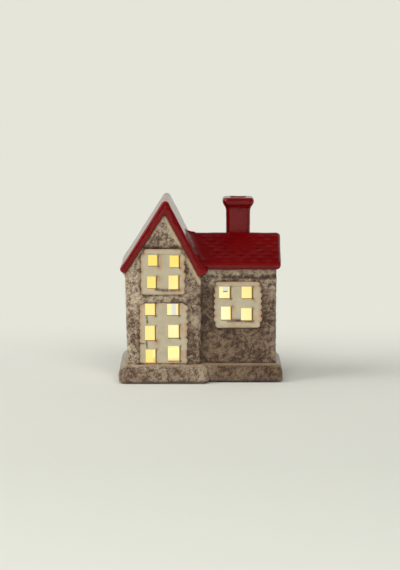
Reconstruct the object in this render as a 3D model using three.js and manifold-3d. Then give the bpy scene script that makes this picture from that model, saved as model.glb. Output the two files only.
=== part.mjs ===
// Light-up ceramic house: a steep gabled tower, a lower wing with a chimney, and a battery light module.
// Millimetres, +Z up. The front faces -Y and the tower is on the -X side.
// The origin is the middle of the footprint, on the surface that the house stands on.
import * as THREE from 'three';
import { mergeVertices } from 'three/addons/utils/BufferGeometryUtils.js';
import Module from 'manifold-3d';

const wasm = await Module();
wasm.setup();

// Walls and plinth. Heights of the roofs and the chimney are measured from the standing surface.
const TOWER_WIDTH = 45.2;
const TOWER_DEPTH = 54;
const WING_WIDTH = 45.3;
const WING_DEPTH = 43;
const WALL = 3.5;
const DOORWAY_HEIGHT = 44;
const PLINTH_HEIGHT = 10.8;
const PLINTH_LEDGE = 4.1;
const PLINTH_FLOOR = 4;
const PLINTH_EDGE_ROUNDING = 2;
const PLINTH_CORNER_RADIUS = 3;
const PAD_THICKNESS = 0.8;
const PAD_DIAMETER = 9;
const PAD_INSET = 8;

// Tower roof: the apex stands a little right of the tower's middle, and the right eave is the lower one.
const ROOF_THICKNESS = 3.9;
const ROOF_EDGE_ROUNDING = 1.2;
const TOWER_APEX_HEIGHT = 110.4;
const TOWER_APEX_SHIFT = 1.15;
const TOWER_LEFT_EAVE_HEIGHT = 69.7;
const TOWER_RIGHT_EAVE_HEIGHT = 66.7;
const TOWER_LEFT_OVERHANG = 3.2;
const TOWER_RIGHT_OVERHANG = 1.95;
const TOWER_GABLE_OVERHANG = 3;

// Wing roof and chimney.
const WING_RIDGE_HEIGHT = 89.3;
const WING_EAVE_HEIGHT = 72.4;
const WING_EAVE_OVERHANG = 3.5;
const WING_GABLE_OVERHANG = 2.8;
const CHIMNEY_WIDTH = 14.6;
const CHIMNEY_DEPTH = 12;
const CHIMNEY_TOP_HEIGHT = 110.2;
const CHIMNEY_SETBACK = 0.5;
const CHIMNEY_CORNER_RADIUS = 2.4;
const CHIMNEY_CAP_HEIGHT = 6.8;
const CHIMNEY_CAP_OVERHANG = 2.25;
const FLUE_WIDTH = 8.6;
const FLUE_DEPTH = 6.4;
const FLUE_RECESS = 4;

// Windows: relief plaques with square panes cut through plaque and wall.
const PANE_WIDTH = 6;
const PANE_HEIGHT = 7.5;
const PANE_COLUMN_PITCH = 13.4;
const PANE_ROW_PITCH = 13.6;
const PLAQUE_THICKNESS = 1.3;
const PLAQUE_SIDE_BORDER = 4.6;
const PLAQUE_TOP_BORDER = 3.1;
const PLAQUE_SILL_BORDER = 3.9;
const SCALLOP_PITCH = 3.3;
const SCALLOP_BULGE = 0.5;
const RAIL_RELIEF = 0.6;
const RAIL_HEIGHT = 2.4;
const DOOR_WINDOW_FOOT = 2.6;
const DOOR_WINDOW_TOP_BORDER = 1;
const TOWER_WINDOW_GAP = 4.1;
const TOWER_WINDOW_SHIFT = -0.5;
const WING_WINDOW_FOOT = 21.6;
const WING_WINDOW_SHIFT = -1;
const BACK_PANE_WIDTH = 2.8;
const BACK_PANE_HEIGHT = 8.6;
const BACK_PANE_PITCH = 8;
const TOWER_BACK_WINDOW_FOOT = 18.2;
const TOWER_BACK_WINDOW_SHIFT = 1.55;
const WING_BACK_WINDOW_FOOT = 34.1;
const WING_BACK_WINDOW_SHIFT = -3.7;

// Light module: two AAA cells, a contact spring behind each, a slide switch and one lamp under a frosted cap.
const BATTERY_DIAMETER = 10.5;
const BATTERY_LENGTH = 44.5;
const BATTERY_NUB_DIAMETER = 3.8;
const BATTERY_NUB_LENGTH = 1;
const BATTERY_EDGE_CHAMFER = 0.4;
const BATTERY_CLEARANCE = 0.4;
const SPRING_LENGTH = 4.4;
const SPRING_WIRE = 0.6;
const SPRING_TURNS = 4;
const SPRING_WALL_DIAMETER = 8;
const SPRING_CELL_DIAMETER = 5.2;
const CONTACT_THICKNESS = 0.4;
const CONTACT_HEIGHT = 8.4;
const CONTACT_TAG_WIDTH = 2;
const CONTACT_ARM_HEIGHT = 1.2;
const POSITIVE_TAG_RISE = 2.6;
const NEGATIVE_TAG_DROP = 3;
const POSITIVE_TAG_MIDDLE = 0.5;
const NEGATIVE_TAG_MIDDLE = -7;
const MODULE_SHIFT = 2;
const CASE_WALL = 1.2;
const CASE_RECESS = 0.2;
const FLANGE_WIDTH = 3;
const FLANGE_THICKNESS = 1.4;
const GASKET_THICKNESS = 0.5;
const SWITCH_BAY_LENGTH = 9;
const SWITCH_BODY_WIDTH = 5.6;
const SWITCH_BODY_LENGTH = 10.4;
const SWITCH_BODY_HEIGHT = 4.5;
const SWITCH_INSET = 1.2;
const SWITCH_TRAVEL = 3;
const SLIDER_FLANGE = 0.6;
const SLIDER_CHAMBER_RISE = 0.9;
const SLIDER_CHAMBER_HEIGHT = 1.4;
const KNOB_LENGTH = 4.2;
const KNOB_WIDTH = 2.2;
const KNOB_GROOVE_PITCH = 1.1;
const KNOB_GROOVE_SIZE = 0.4;
const COVER_LAP = 0.8;
const COVER_TAB_BORDER = 0.9;
const GRIP_INSET = 2;
const GRIP_LENGTH = 2;
const GRIP_WIDTH = 8;
const GRIP_DEPTH = 0.6;
const SCREW_DIAMETER = 2.6;
const SCREW_LENGTH = 8;
const SCREW_POINT_LENGTH = 1;
const SCREW_POINT_DIAMETER = 1.3;
const SCREW_HEAD_DIAMETER = 4.6;
const SCREW_HEAD_HEIGHT = 1.3;
const SCREW_HEAD_CHAMFER = 0.6;
const SCREW_SLOT_WIDTH = 0.7;
const SCREW_SLOT_LENGTH = 3;
const SCREW_SLOT_DEPTH = 0.9;
const BOSS_WALL = 1.6;
const BOARD_DIAMETER = 13;
const BOARD_THICKNESS = 1.2;
const LAMP_SHIFT = -1;
const LAMP_DIAMETER = 5;
const LAMP_HEIGHT = 8.6;
const LAMP_COLLAR_WIDTH = 0.4;
const LAMP_COLLAR_HEIGHT = 1;
const SPACER_DIAMETER = 5.6;
const SPACER_HEIGHT = 8;
const DIFFUSER_DIAMETER = 17;
const DIFFUSER_WALL = 1.4;
const DIFFUSER_HEADROOM = 2;
const DIFFUSER_DOME_RISE = 4.3;
const DIFFUSER_NOTCH_WIDTH = 6;
const DIFFUSER_NOTCH_RISE = 1.6;
const RESISTOR_DIAMETER = 1.8;
const RESISTOR_LENGTH = 3.6;
const LEAD_DIAMETER = 1.2;

// Clearances.
const SEAT_GAP = 0.3;
const CUT_OVERRUN = 1;
const ROUND_SIDES = 24;
const CORNER_STEPS = 4;

// Levels and faces that several pieces share.
const towerLeft = -(TOWER_WIDTH + WING_WIDTH) / 2;
const towerRight = towerLeft + TOWER_WIDTH;
const wingRight = towerRight + WING_WIDTH;
const towerMiddle = (towerLeft + towerRight) / 2;
const wingMiddle = (towerRight + wingRight) / 2;
const plinthBottom = PAD_THICKNESS;
const plinthTop = plinthBottom + PLINTH_HEIGHT;
const floorTop = plinthBottom + PLINTH_FLOOR;
const skyHeight = Math.max(TOWER_APEX_HEIGHT, CHIMNEY_TOP_HEIGHT) + CUT_OVERRUN;

const caseBottom = plinthBottom + CASE_RECESS;
const flangeTop = caseBottom + FLANGE_THICKNESS;
const batteryHeight = flangeTop + BATTERY_CLEARANCE + BATTERY_DIAMETER / 2;
const caseCeiling = batteryHeight + BATTERY_DIAMETER / 2 + BATTERY_CLEARANCE;
const caseTop = caseCeiling + CASE_WALL;
const bayLength = BATTERY_LENGTH + SPRING_LENGTH + 2 * CONTACT_THICKNESS + 3 * SEAT_GAP;
const bayHalfWidth = BATTERY_DIAMETER + 1.5 * BATTERY_CLEARANCE;
const caseLength = bayLength + SWITCH_BAY_LENGTH + 3 * CASE_WALL;
const caseHalfWidth = bayHalfWidth + CASE_WALL;
const caseLeft = MODULE_SHIFT - caseLength / 2;
const caseRight = caseLeft + caseLength;
const bayLeft = caseLeft + CASE_WALL;
const bayRight = bayLeft + bayLength;
const switchBayLeft = bayRight + CASE_WALL;
const switchBayMiddle = switchBayLeft + SWITCH_BAY_LENGTH / 2;
const batteryOffset = (BATTERY_DIAMETER + BATTERY_CLEARANCE) / 2;
const lampX = MODULE_SHIFT + LAMP_SHIFT;
const boardTop = caseTop + BOARD_THICKNESS;
const screwRadius = SCREW_DIAMETER / 2;
const bossRadius = screwRadius + SEAT_GAP + BOSS_WALL;
const screwY = bayHalfWidth - bossRadius - SEAT_GAP;
const switchY = -bayHalfWidth + SWITCH_INSET + SWITCH_BODY_LENGTH / 2;
const screwHeadTop = caseBottom + SEAT_GAP + SCREW_HEAD_HEIGHT;
const coverTabTop = screwHeadTop + SEAT_GAP + FLANGE_THICKNESS;

// Finishes of the real pieces.
const FINISHES = {
  stoneGlaze: { color: 0x85735a, roughness: 0.45, metalness: 0 },
  redGlaze: { color: 0x6b1414, roughness: 0.12, metalness: 0 },
  creamGlaze: { color: 0xbdb5a0, roughness: 0.35, metalness: 0 },
  felt: { color: 0x4a4640, roughness: 0.95, metalness: 0 },
  foam: { color: 0xd9d5cc, roughness: 0.9, metalness: 0 },
  casePlastic: { color: 0xe6e2d8, roughness: 0.5, metalness: 0 },
  switchPlastic: { color: 0x202020, roughness: 0.4, metalness: 0 },
  batteryWrap: { color: 0x8f9294, roughness: 0.35, metalness: 0.6 },
  nickel: { color: 0xb9b7b0, roughness: 0.3, metalness: 1 },
  circuitBoard: { color: 0x2f5a3a, roughness: 0.5, metalness: 0 },
  resistorBody: { color: 0xc9b48a, roughness: 0.5, metalness: 0 },
  warmLamp: { color: 0xffd98a, roughness: 0.2, metalness: 0 },
  frostedCap: { color: 0xfff1d0, roughness: 0.6, metalness: 0 },
  redWire: { color: 0xb02318, roughness: 0.5, metalness: 0 },
  blackWire: { color: 0x181818, roughness: 0.5, metalness: 0 },
};

// Closed geometry to solid, and back again.
function toSolid(geometry) {
  const bare = geometry.clone();
  bare.deleteAttribute('normal');
  bare.deleteAttribute('uv');
  const merged = mergeVertices(bare, 1e-4);
  return new wasm.Manifold(new wasm.Mesh({
    numProp: 3,
    vertProperties: new Float32Array(merged.attributes.position.array),
    triVerts: new Uint32Array(merged.index.array),
  }));
}

function toGeometry(solid) {
  const mesh = solid.getMesh();
  const geometry = new THREE.BufferGeometry();
  geometry.setAttribute('position', new THREE.BufferAttribute(mesh.vertProperties, 3));
  geometry.setIndex(new THREE.BufferAttribute(mesh.triVerts, 1));
  geometry.computeVertexNormals();
  return geometry;
}

// Box between two values on each axis.
function block([x0, x1], [y0, y1], [z0, z1]) {
  const geometry = new THREE.BoxGeometry(x1 - x0, y1 - y0, z1 - z0);
  geometry.translate((x0 + x1) / 2, (y0 + y1) / 2, (z0 + z1) / 2);
  return toSolid(geometry);
}

// Range of a size centred on a value.
function around(middle, size) {
  return [middle - size / 2, middle + size / 2];
}

// Outline with every corner rounded by the same radius.
function roundedShape(points, radius) {
  const corners = points.map(([u, v]) => new THREE.Vector2(u, v));
  const shape = new THREE.Shape();
  corners.forEach((corner, i) => {
    const before = corners[(i + corners.length - 1) % corners.length];
    const after = corners[(i + 1) % corners.length];
    const start = before.clone().sub(corner).setLength(radius).add(corner);
    const end = after.clone().sub(corner).setLength(radius).add(corner);
    if (i === 0) {
      shape.moveTo(start.x, start.y);
    } else {
      shape.lineTo(start.x, start.y);
    }
    shape.quadraticCurveTo(corner.x, corner.y, end.x, end.y);
  });
  shape.closePath();
  return shape;
}

function straightShape(points) {
  return new THREE.Shape(points.map(([u, v]) => new THREE.Vector2(u, v)));
}

function circleShape(x, y, radius) {
  const shape = new THREE.Shape();
  shape.absarc(x, y, radius, 0, 2 * Math.PI, false);
  return shape;
}

function rectangle([u0, u1], [v0, v1]) {
  return [[u0, v0], [u1, v0], [u1, v1], [u0, v1]];
}

// Outline in X and Y extruded up Z, with an optional rounded edge at both ends.
function extrudeUp(shape, z0, z1, edge = 0) {
  const geometry = new THREE.ExtrudeGeometry(shape, {
    depth: z1 - z0 - 2 * edge,
    curveSegments: CORNER_STEPS,
    bevelEnabled: edge > 0,
    bevelThickness: edge,
    bevelSize: edge,
    bevelOffset: -edge,
    bevelSegments: 3,
  });
  geometry.translate(0, 0, z0 + edge);
  return toSolid(geometry);
}

// Outline in X and Z extruded along Y.
function extrudeBack(shape, y0, y1) {
  const options = { depth: y1 - y0, curveSegments: CORNER_STEPS, bevelEnabled: false };
  const geometry = new THREE.ExtrudeGeometry(shape, options);
  const toBack = new THREE.Matrix4().makeBasis(
    new THREE.Vector3(1, 0, 0), new THREE.Vector3(0, 0, 1), new THREE.Vector3(0, -1, 0));
  geometry.applyMatrix4(toBack);
  geometry.translate(0, y1, 0);
  return toSolid(geometry);
}

// Outline in Y and Z extruded along X.
function extrudeAcross(shape, x0, x1) {
  const options = { depth: x1 - x0, curveSegments: CORNER_STEPS, bevelEnabled: false };
  const geometry = new THREE.ExtrudeGeometry(shape, options);
  const toRight = new THREE.Matrix4().makeBasis(
    new THREE.Vector3(0, 1, 0), new THREE.Vector3(0, 0, 1), new THREE.Vector3(1, 0, 0));
  geometry.applyMatrix4(toRight);
  geometry.translate(x0, 0, 0);
  return toSolid(geometry);
}

// Profile of [radius, height] pairs, from the axis to the axis, turned about a vertical axis at x, y.
function turned(profile, x, y) {
  const points = profile.map(([radius, height]) => new THREE.Vector2(radius, height));
  const geometry = new THREE.LatheGeometry(points, ROUND_SIDES);
  geometry.rotateX(Math.PI / 2);
  geometry.translate(x, y, 0);
  return toSolid(geometry);
}

function disc(x, y, radius, z0, z1) {
  return turned([[0, z0], [radius, z0], [radius, z1], [0, z1]], x, y);
}

// Closed skin over a stack of rings that all have the same number of points.
function skinOver(rings) {
  const count = rings[0].length;
  const positions = rings.flat().flatMap((point) => [point.x, point.y, point.z]);
  const index = [];
  for (let ring = 0; ring + 1 < rings.length; ring += 1) {
    for (let i = 0; i < count; i += 1) {
      const a = ring * count + i;
      const b = ring * count + ((i + 1) % count);
      index.push(a, b, b + count, a, b + count, a + count);
    }
  }
  const last = (rings.length - 1) * count;
  for (let i = 1; i + 1 < count; i += 1) {
    index.push(0, i + 1, i);
    index.push(last, last + i, last + i + 1);
  }
  const geometry = new THREE.BufferGeometry();
  geometry.setAttribute('position', new THREE.Float32BufferAttribute(positions, 3));
  geometry.setIndex(index);
  return geometry;
}

// Roof lines. Each roof is a pair of sloping slabs with its outer surface through the eaves and the ridge.
const towerRoofLine = {
  left: new THREE.Vector2(towerLeft - TOWER_LEFT_OVERHANG, TOWER_LEFT_EAVE_HEIGHT),
  ridge: new THREE.Vector2(towerMiddle + TOWER_APEX_SHIFT, TOWER_APEX_HEIGHT),
  right: new THREE.Vector2(towerRight + TOWER_RIGHT_OVERHANG, TOWER_RIGHT_EAVE_HEIGHT),
};
const wingRoofLine = {
  left: new THREE.Vector2(-WING_DEPTH / 2 - WING_EAVE_OVERHANG, WING_EAVE_HEIGHT),
  ridge: new THREE.Vector2(0, WING_RIDGE_HEIGHT),
  right: new THREE.Vector2(WING_DEPTH / 2 + WING_EAVE_OVERHANG, WING_EAVE_HEIGHT),
};

// Height of a roof line at u, lowered square to the slope by a depth.
function heightUnder(line, u, depth) {
  const slopeLeft = (line.ridge.y - line.left.y) / (line.ridge.x - line.left.x);
  const slopeRight = (line.right.y - line.ridge.y) / (line.right.x - line.ridge.x);
  const onLeft = line.ridge.y + slopeLeft * (u - line.ridge.x) - depth * Math.hypot(1, slopeLeft);
  const onRight = line.ridge.y + slopeRight * (u - line.ridge.x) - depth * Math.hypot(1, slopeRight);
  return Math.min(onLeft, onRight);
}

// Where the two slopes meet when both are lowered by a depth.
function ridgeUnder(line, depth) {
  const slopeLeft = (line.ridge.y - line.left.y) / (line.ridge.x - line.left.x);
  const slopeRight = (line.right.y - line.ridge.y) / (line.right.x - line.ridge.x);
  const dropLeft = depth * Math.hypot(1, slopeLeft);
  const dropRight = depth * Math.hypot(1, slopeRight);
  const shift = (dropLeft - dropRight) / (slopeLeft - slopeRight);
  return new THREE.Vector2(line.ridge.x + shift, line.ridge.y + slopeLeft * shift - dropLeft);
}

// Cross-section of the two slabs, with their lower ends cut square to the slope.
function slabSection(line, thickness) {
  const inward = (eave) => {
    const along = line.ridge.clone().sub(eave).normalize();
    const square = new THREE.Vector2(-along.y, along.x);
    return square.y < 0 ? square : square.negate();
  };
  const leftFoot = line.left.clone().addScaledVector(inward(line.left), thickness);
  const rightFoot = line.right.clone().addScaledVector(inward(line.right), thickness);
  const corners = [line.left, line.ridge, line.right, rightFoot, ridgeUnder(line, thickness), leftFoot];
  return corners.map((point) => [point.x, point.y]);
}

// Everything below a roof line lowered by a depth, between u0 and u1 and down to a floor.
function sectionUnder(line, depth, [u0, u1], floor) {
  const peak = ridgeUnder(line, depth);
  return [[u0, floor], [u1, floor], [u1, heightUnder(line, u1, depth)], [peak.x, peak.y],
    [u0, heightUnder(line, u0, depth)]];
}

// A roof line lifted square to its slopes and lengthened past its eaves by a gap.
function grownLine(line, gap) {
  const eave = (end) => {
    const along = end.clone().sub(line.ridge).normalize();
    const square = new THREE.Vector2(-along.y, along.x);
    const up = square.y > 0 ? square : square.negate();
    return end.clone().addScaledVector(along, gap).addScaledVector(up, gap);
  };
  return { left: eave(line.left), ridge: ridgeUnder(line, -gap), right: eave(line.right) };
}

const gableReach = TOWER_DEPTH / 2 + TOWER_GABLE_OVERHANG + SEAT_GAP;

// The tower roof grown by the gap that its neighbours keep.
function towerRoofSpace() {
  const section = slabSection(grownLine(towerRoofLine, SEAT_GAP), ROOF_THICKNESS + 2 * SEAT_GAP);
  return extrudeBack(straightShape(section), -gableReach, gableReach);
}

// The same with everything that it covers, down to its lower eave.
function towerRoofCovered() {
  const reach = [towerRoofLine.left.x - SEAT_GAP, towerRoofLine.right.x + SEAT_GAP];
  const section = sectionUnder(towerRoofLine, -SEAT_GAP, reach, TOWER_RIGHT_EAVE_HEIGHT - ROOF_THICKNESS);
  return extrudeBack(straightShape(section), -gableReach, gableReach);
}

// Panes of a window, as the middles of its holes.
function paneMiddles(window) {
  const middles = [];
  for (let row = 0; row < window.rows; row += 1) {
    for (const side of [-1, 1]) {
      middles.push([
        window.middle + side * window.columnPitch / 2,
        window.lowestPane + window.paneHeight / 2 + row * PANE_ROW_PITCH,
      ]);
    }
  }
  return middles;
}

function windowTop(window) {
  return window.lowestPane + window.paneHeight + (window.rows - 1) * PANE_ROW_PITCH + window.topBorder;
}

// The five windows. A face of -1 is the front and 1 is the back.
const towerDoorWindow = {
  face: -1,
  depth: TOWER_DEPTH,
  middle: towerMiddle + TOWER_WINDOW_SHIFT,
  bottom: plinthTop + SEAT_GAP,
  lowestPane: plinthTop + DOOR_WINDOW_FOOT,
  rows: 3,
  columnPitch: PANE_COLUMN_PITCH,
  paneWidth: PANE_WIDTH,
  paneHeight: PANE_HEIGHT,
  topBorder: DOOR_WINDOW_TOP_BORDER,
  rails: false,
};
const towerUpperWindow = {
  ...towerDoorWindow,
  bottom: windowTop(towerDoorWindow) + TOWER_WINDOW_GAP,
  lowestPane: windowTop(towerDoorWindow) + TOWER_WINDOW_GAP + PLAQUE_SILL_BORDER,
  rows: 2,
  topBorder: PLAQUE_TOP_BORDER,
  rails: true,
};
const wingWindow = {
  ...towerUpperWindow,
  depth: WING_DEPTH,
  middle: wingMiddle + WING_WINDOW_SHIFT,
  bottom: plinthTop + WING_WINDOW_FOOT,
  lowestPane: plinthTop + WING_WINDOW_FOOT + PLAQUE_SILL_BORDER,
};
const towerBackWindow = {
  face: 1,
  depth: TOWER_DEPTH,
  middle: towerMiddle + TOWER_BACK_WINDOW_SHIFT,
  bottom: plinthTop + TOWER_BACK_WINDOW_FOOT,
  lowestPane: plinthTop + TOWER_BACK_WINDOW_FOOT + PLAQUE_SILL_BORDER,
  rows: 1,
  columnPitch: BACK_PANE_PITCH,
  paneWidth: BACK_PANE_WIDTH,
  paneHeight: BACK_PANE_HEIGHT,
  topBorder: PLAQUE_TOP_BORDER,
  rails: true,
};
const wingBackWindow = {
  ...towerBackWindow,
  depth: WING_DEPTH,
  middle: wingMiddle + WING_BACK_WINDOW_SHIFT,
  bottom: plinthTop + WING_BACK_WINDOW_FOOT,
  lowestPane: plinthTop + WING_BACK_WINDOW_FOOT + PLAQUE_SILL_BORDER,
};

// Holes through a wall and the plaque on it.
function paneHoles(window) {
  const near = window.depth / 2 - WALL - CUT_OVERRUN;
  const far = window.depth / 2 + PLAQUE_THICKNESS + RAIL_RELIEF + CUT_OVERRUN;
  const ys = window.face < 0 ? [-far, -near] : [near, far];
  return paneMiddles(window).map(([x, z]) => block(
    around(x, window.paneWidth), ys, around(z, window.paneHeight)));
}

function cutAll(solid, cutters) {
  return cutters.reduce((rest, cutter) => rest.subtract(cutter), solid);
}

// Plaque outline: straight top and bottom, scalloped left and right sides.
function plaqueOutline(halfWidth, bottom, top, middle) {
  const scallops = Math.max(3, Math.round((top - bottom) / SCALLOP_PITCH));
  const pitch = (top - bottom) / scallops;
  const stepsPerScallop = 4;
  const side = [];
  for (let step = 0; step <= scallops * stepsPerScallop; step += 1) {
    const phase = (step % stepsPerScallop) / stepsPerScallop;
    side.push([halfWidth - SCALLOP_BULGE + SCALLOP_BULGE * Math.sin(Math.PI * phase),
      bottom + pitch * step / stepsPerScallop]);
  }
  const right = side.map(([u, v]) => [middle + u, v]);
  const left = side.map(([u, v]) => [middle - u, v]).reverse();
  return [...right, ...left];
}

// The tower's cross-section: everything between its side walls, from the plinth up to the roof.
function towerGable() {
  return sectionUnder(towerRoofLine, ROOF_THICKNESS + SEAT_GAP, [towerLeft, towerRight], plinthTop);
}

function windowPlaque(window) {
  const top = windowTop(window);
  const halfWidth = (window.columnPitch + window.paneWidth) / 2 + PLAQUE_SIDE_BORDER;
  const wallFace = window.depth / 2;
  const plateFace = wallFace + PLAQUE_THICKNESS;
  const railFace = plateFace + RAIL_RELIEF;
  const outline = straightShape(plaqueOutline(halfWidth, window.bottom, top, window.middle));
  const span = (outer) => (window.face < 0 ? [-outer, -wallFace] : [wallFace, outer]);
  let plaque = extrudeBack(outline, ...span(plateFace));
  if (window.rails) {
    const across = [window.middle - halfWidth + SCALLOP_BULGE, window.middle + halfWidth - SCALLOP_BULGE];
    plaque = plaque.add(block(across, span(railFace), [window.bottom, window.bottom + RAIL_HEIGHT]));
    plaque = plaque.add(block(across, span(railFace), [top - RAIL_HEIGHT, top]));
  }
  if (window.depth === TOWER_DEPTH) {
    plaque = plaque.intersect(extrudeBack(straightShape(towerGable()), -railFace, railFace));
  }
  return cutAll(plaque, paneHoles(window));
}

// Battery box outline grown by a margin, between two heights.
function caseBlock(margin, heights) {
  return block([caseLeft - margin, caseRight + margin], around(0, 2 * (caseHalfWidth + margin)), heights);
}

// Plinth: a shallow cast tray with a thick floor, a ledge for the walls and an opening for the module.
function plinth() {
  const left = towerLeft - PLINTH_LEDGE;
  const towerEnd = towerRight + PLINTH_LEDGE;
  const wingEnd = wingRight + PLINTH_LEDGE;
  const towerDepth = TOWER_DEPTH + 2 * PLINTH_LEDGE;
  const wingDepth = WING_DEPTH + 2 * PLINTH_LEDGE;
  const cushion = (xs, depth) => {
    const outline = roundedShape(rectangle(xs, around(0, depth)), PLINTH_CORNER_RADIUS);
    return extrudeUp(outline, plinthBottom, plinthTop, PLINTH_EDGE_ROUNDING);
  };
  const outer = cushion([left, towerEnd], towerDepth).add(cushion([towerMiddle, wingEnd], wingDepth));
  const underLedge = [floorTop, plinthTop - WALL];
  const upThrough = [floorTop, plinthTop + CUT_OVERRUN];
  const room = [
    block([left + WALL, towerEnd - WALL], around(0, towerDepth - 2 * WALL), underLedge),
    block([left + WALL, wingEnd - WALL], around(0, wingDepth - 2 * WALL), underLedge),
    block([towerLeft + WALL, towerRight - WALL], around(0, TOWER_DEPTH - 2 * WALL), upThrough),
    block([towerLeft + WALL, wingRight - WALL], around(0, WING_DEPTH - 2 * WALL), upThrough),
  ];
  const below = plinthBottom - CUT_OVERRUN;
  return cutAll(outer, [
    ...room,
    caseBlock(SEAT_GAP, [below, floorTop + CUT_OVERRUN]),
    caseBlock(FLANGE_WIDTH + SEAT_GAP, [below, flangeTop + GASKET_THICKNESS]),
  ]);
}

// Tower: four walls cast as one, open below and under the roof, with a doorway for the light into the wing.
function towerWalls() {
  const halfDepth = TOWER_DEPTH / 2;
  const outer = extrudeBack(straightShape(towerGable()), -halfDepth, halfDepth);
  const room = block([towerLeft + WALL, towerRight - WALL], around(0, TOWER_DEPTH - 2 * WALL),
    [plinthTop - CUT_OVERRUN, skyHeight]);
  const doorway = block([towerRight - WALL - CUT_OVERRUN, towerRight + CUT_OVERRUN],
    around(0, WING_DEPTH - 2 * WALL), [plinthTop - CUT_OVERRUN, plinthTop + DOORWAY_HEIGHT]);
  const panes = [towerDoorWindow, towerUpperWindow, towerBackWindow].flatMap(paneHoles);
  return cutAll(outer, [room, doorway, ...panes]);
}

// Wing: front, back and gable walls that meet the tower's side.
function wingWalls() {
  const halfDepth = WING_DEPTH / 2;
  const section = sectionUnder(wingRoofLine, ROOF_THICKNESS + SEAT_GAP, [-halfDepth, halfDepth], plinthTop);
  const outer = extrudeAcross(straightShape(section), towerRight, wingRight);
  const room = block([towerRight - CUT_OVERRUN, wingRight - WALL], around(0, WING_DEPTH - 2 * WALL),
    [plinthTop - CUT_OVERRUN, skyHeight]);
  const panes = [wingWindow, wingBackWindow].flatMap(paneHoles);
  return cutAll(outer, [room, towerRoofSpace(), ...panes]);
}

function towerRoof() {
  const halfDepth = TOWER_DEPTH / 2 + TOWER_GABLE_OVERHANG;
  const shape = roundedShape(slabSection(towerRoofLine, ROOF_THICKNESS), ROOF_EDGE_ROUNDING);
  return extrudeBack(shape, -halfDepth, halfDepth);
}

// The wing roof runs into the tower roof's right slope and ends there in a valley.
function wingRoof() {
  const shape = roundedShape(slabSection(wingRoofLine, ROOF_THICKNESS), ROOF_EDGE_ROUNDING);
  const slabs = extrudeAcross(shape, towerMiddle, wingRight + WING_GABLE_OVERHANG);
  return slabs.subtract(towerRoofCovered());
}

// One level of the chimney: its shaft's rectangle grown by a margin, with round corners.
function chimneyRing(margin, middleY, z) {
  const xs = around(wingMiddle, CHIMNEY_WIDTH + 2 * margin);
  const ys = around(middleY, CHIMNEY_DEPTH + 2 * margin);
  const points = roundedShape(rectangle(xs, ys), CHIMNEY_CORNER_RADIUS).getPoints(CORNER_STEPS);
  points.pop();
  return points.map((point) => new THREE.Vector3(point.x, point.y, z));
}

// Cap profile as shares of its overhang and its height: it flares from the neck and rolls in at the rim.
const capProfile = [[0, 0], [0.5, 0.3], [1, 0.6], [1, 0.88], [0.6, 1]];

// Chimney: a shaft behind the ridge with a flared, rounded cap and a shallow flue.
function chimney() {
  const y = CHIMNEY_SETBACK + CHIMNEY_DEPTH / 2;
  const neck = CHIMNEY_TOP_HEIGHT - CHIMNEY_CAP_HEIGHT;
  const foot = chimneyRing(0, y, heightUnder(wingRoofLine, y + CHIMNEY_DEPTH, ROOF_THICKNESS));
  const cap = capProfile.map(([out, up]) => chimneyRing(
    out * CHIMNEY_CAP_OVERHANG, y, neck + up * CHIMNEY_CAP_HEIGHT));
  const stack = toSolid(skinOver([foot, ...cap]));
  const roofReach = [wingRoofLine.left.x, wingRoofLine.right.x];
  const roofSection = sectionUnder(wingRoofLine, -SEAT_GAP, roofReach, plinthTop);
  const roofSpace = extrudeAcross(straightShape(roofSection), towerRight, wingRight);
  const flue = block(around(wingMiddle, FLUE_WIDTH), around(y, FLUE_DEPTH),
    [CHIMNEY_TOP_HEIGHT - FLUE_RECESS, skyHeight]);
  return cutAll(stack, [roofSpace, flue]);
}

// Pads under the plinth's four corners.
function padMiddles() {
  const left = towerLeft - PLINTH_LEDGE + PAD_INSET;
  const right = wingRight + PLINTH_LEDGE - PAD_INSET;
  const towerY = TOWER_DEPTH / 2 + PLINTH_LEDGE - PAD_INSET;
  const wingY = WING_DEPTH / 2 + PLINTH_LEDGE - PAD_INSET;
  return [[left, -towerY], [left, towerY], [right, -wingY], [right, wingY]];
}

// Screw that holds the battery cover, with a cross recess in its head.
function coverScrew() {
  const headBottom = screwHeadTop - SCREW_HEAD_HEIGHT;
  const headRadius = SCREW_HEAD_DIAMETER / 2;
  const tip = screwHeadTop + SCREW_LENGTH;
  const profile = [
    [0, headBottom], [headRadius - SCREW_HEAD_CHAMFER, headBottom],
    [headRadius, headBottom + SCREW_HEAD_CHAMFER], [headRadius, screwHeadTop], [screwRadius, screwHeadTop],
    [screwRadius, tip - SCREW_POINT_LENGTH], [SCREW_POINT_DIAMETER / 2, tip], [0, tip],
  ];
  const across = (size) => around(switchBayMiddle, size);
  const along = (size) => around(screwY, size);
  const slotHeights = [headBottom - CUT_OVERRUN, headBottom + SCREW_SLOT_DEPTH];
  const slots = [
    block(across(SCREW_SLOT_LENGTH), along(SCREW_SLOT_WIDTH), slotHeights),
    block(across(SCREW_SLOT_WIDTH), along(SCREW_SLOT_LENGTH), slotHeights),
  ];
  return cutAll(turned(profile, switchBayMiddle, screwY), slots);
}

const coverTabWidth = SCREW_HEAD_DIAMETER + 2 * (SEAT_GAP + COVER_TAB_BORDER);
const coverTabEnd = switchBayMiddle + coverTabWidth / 2;

// Battery cover: a flat plate with a thicker tab that takes the screw, grown by a margin to cut its own seat.
function coverPlate(margin, heights) {
  const lap = COVER_LAP + margin;
  const plate = block([bayLeft - lap, bayRight + lap], around(0, 2 * (bayHalfWidth + lap)), heights);
  const tab = block([bayRight, coverTabEnd + margin], around(screwY, coverTabWidth + 2 * margin), heights);
  return plate.add(tab);
}

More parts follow.
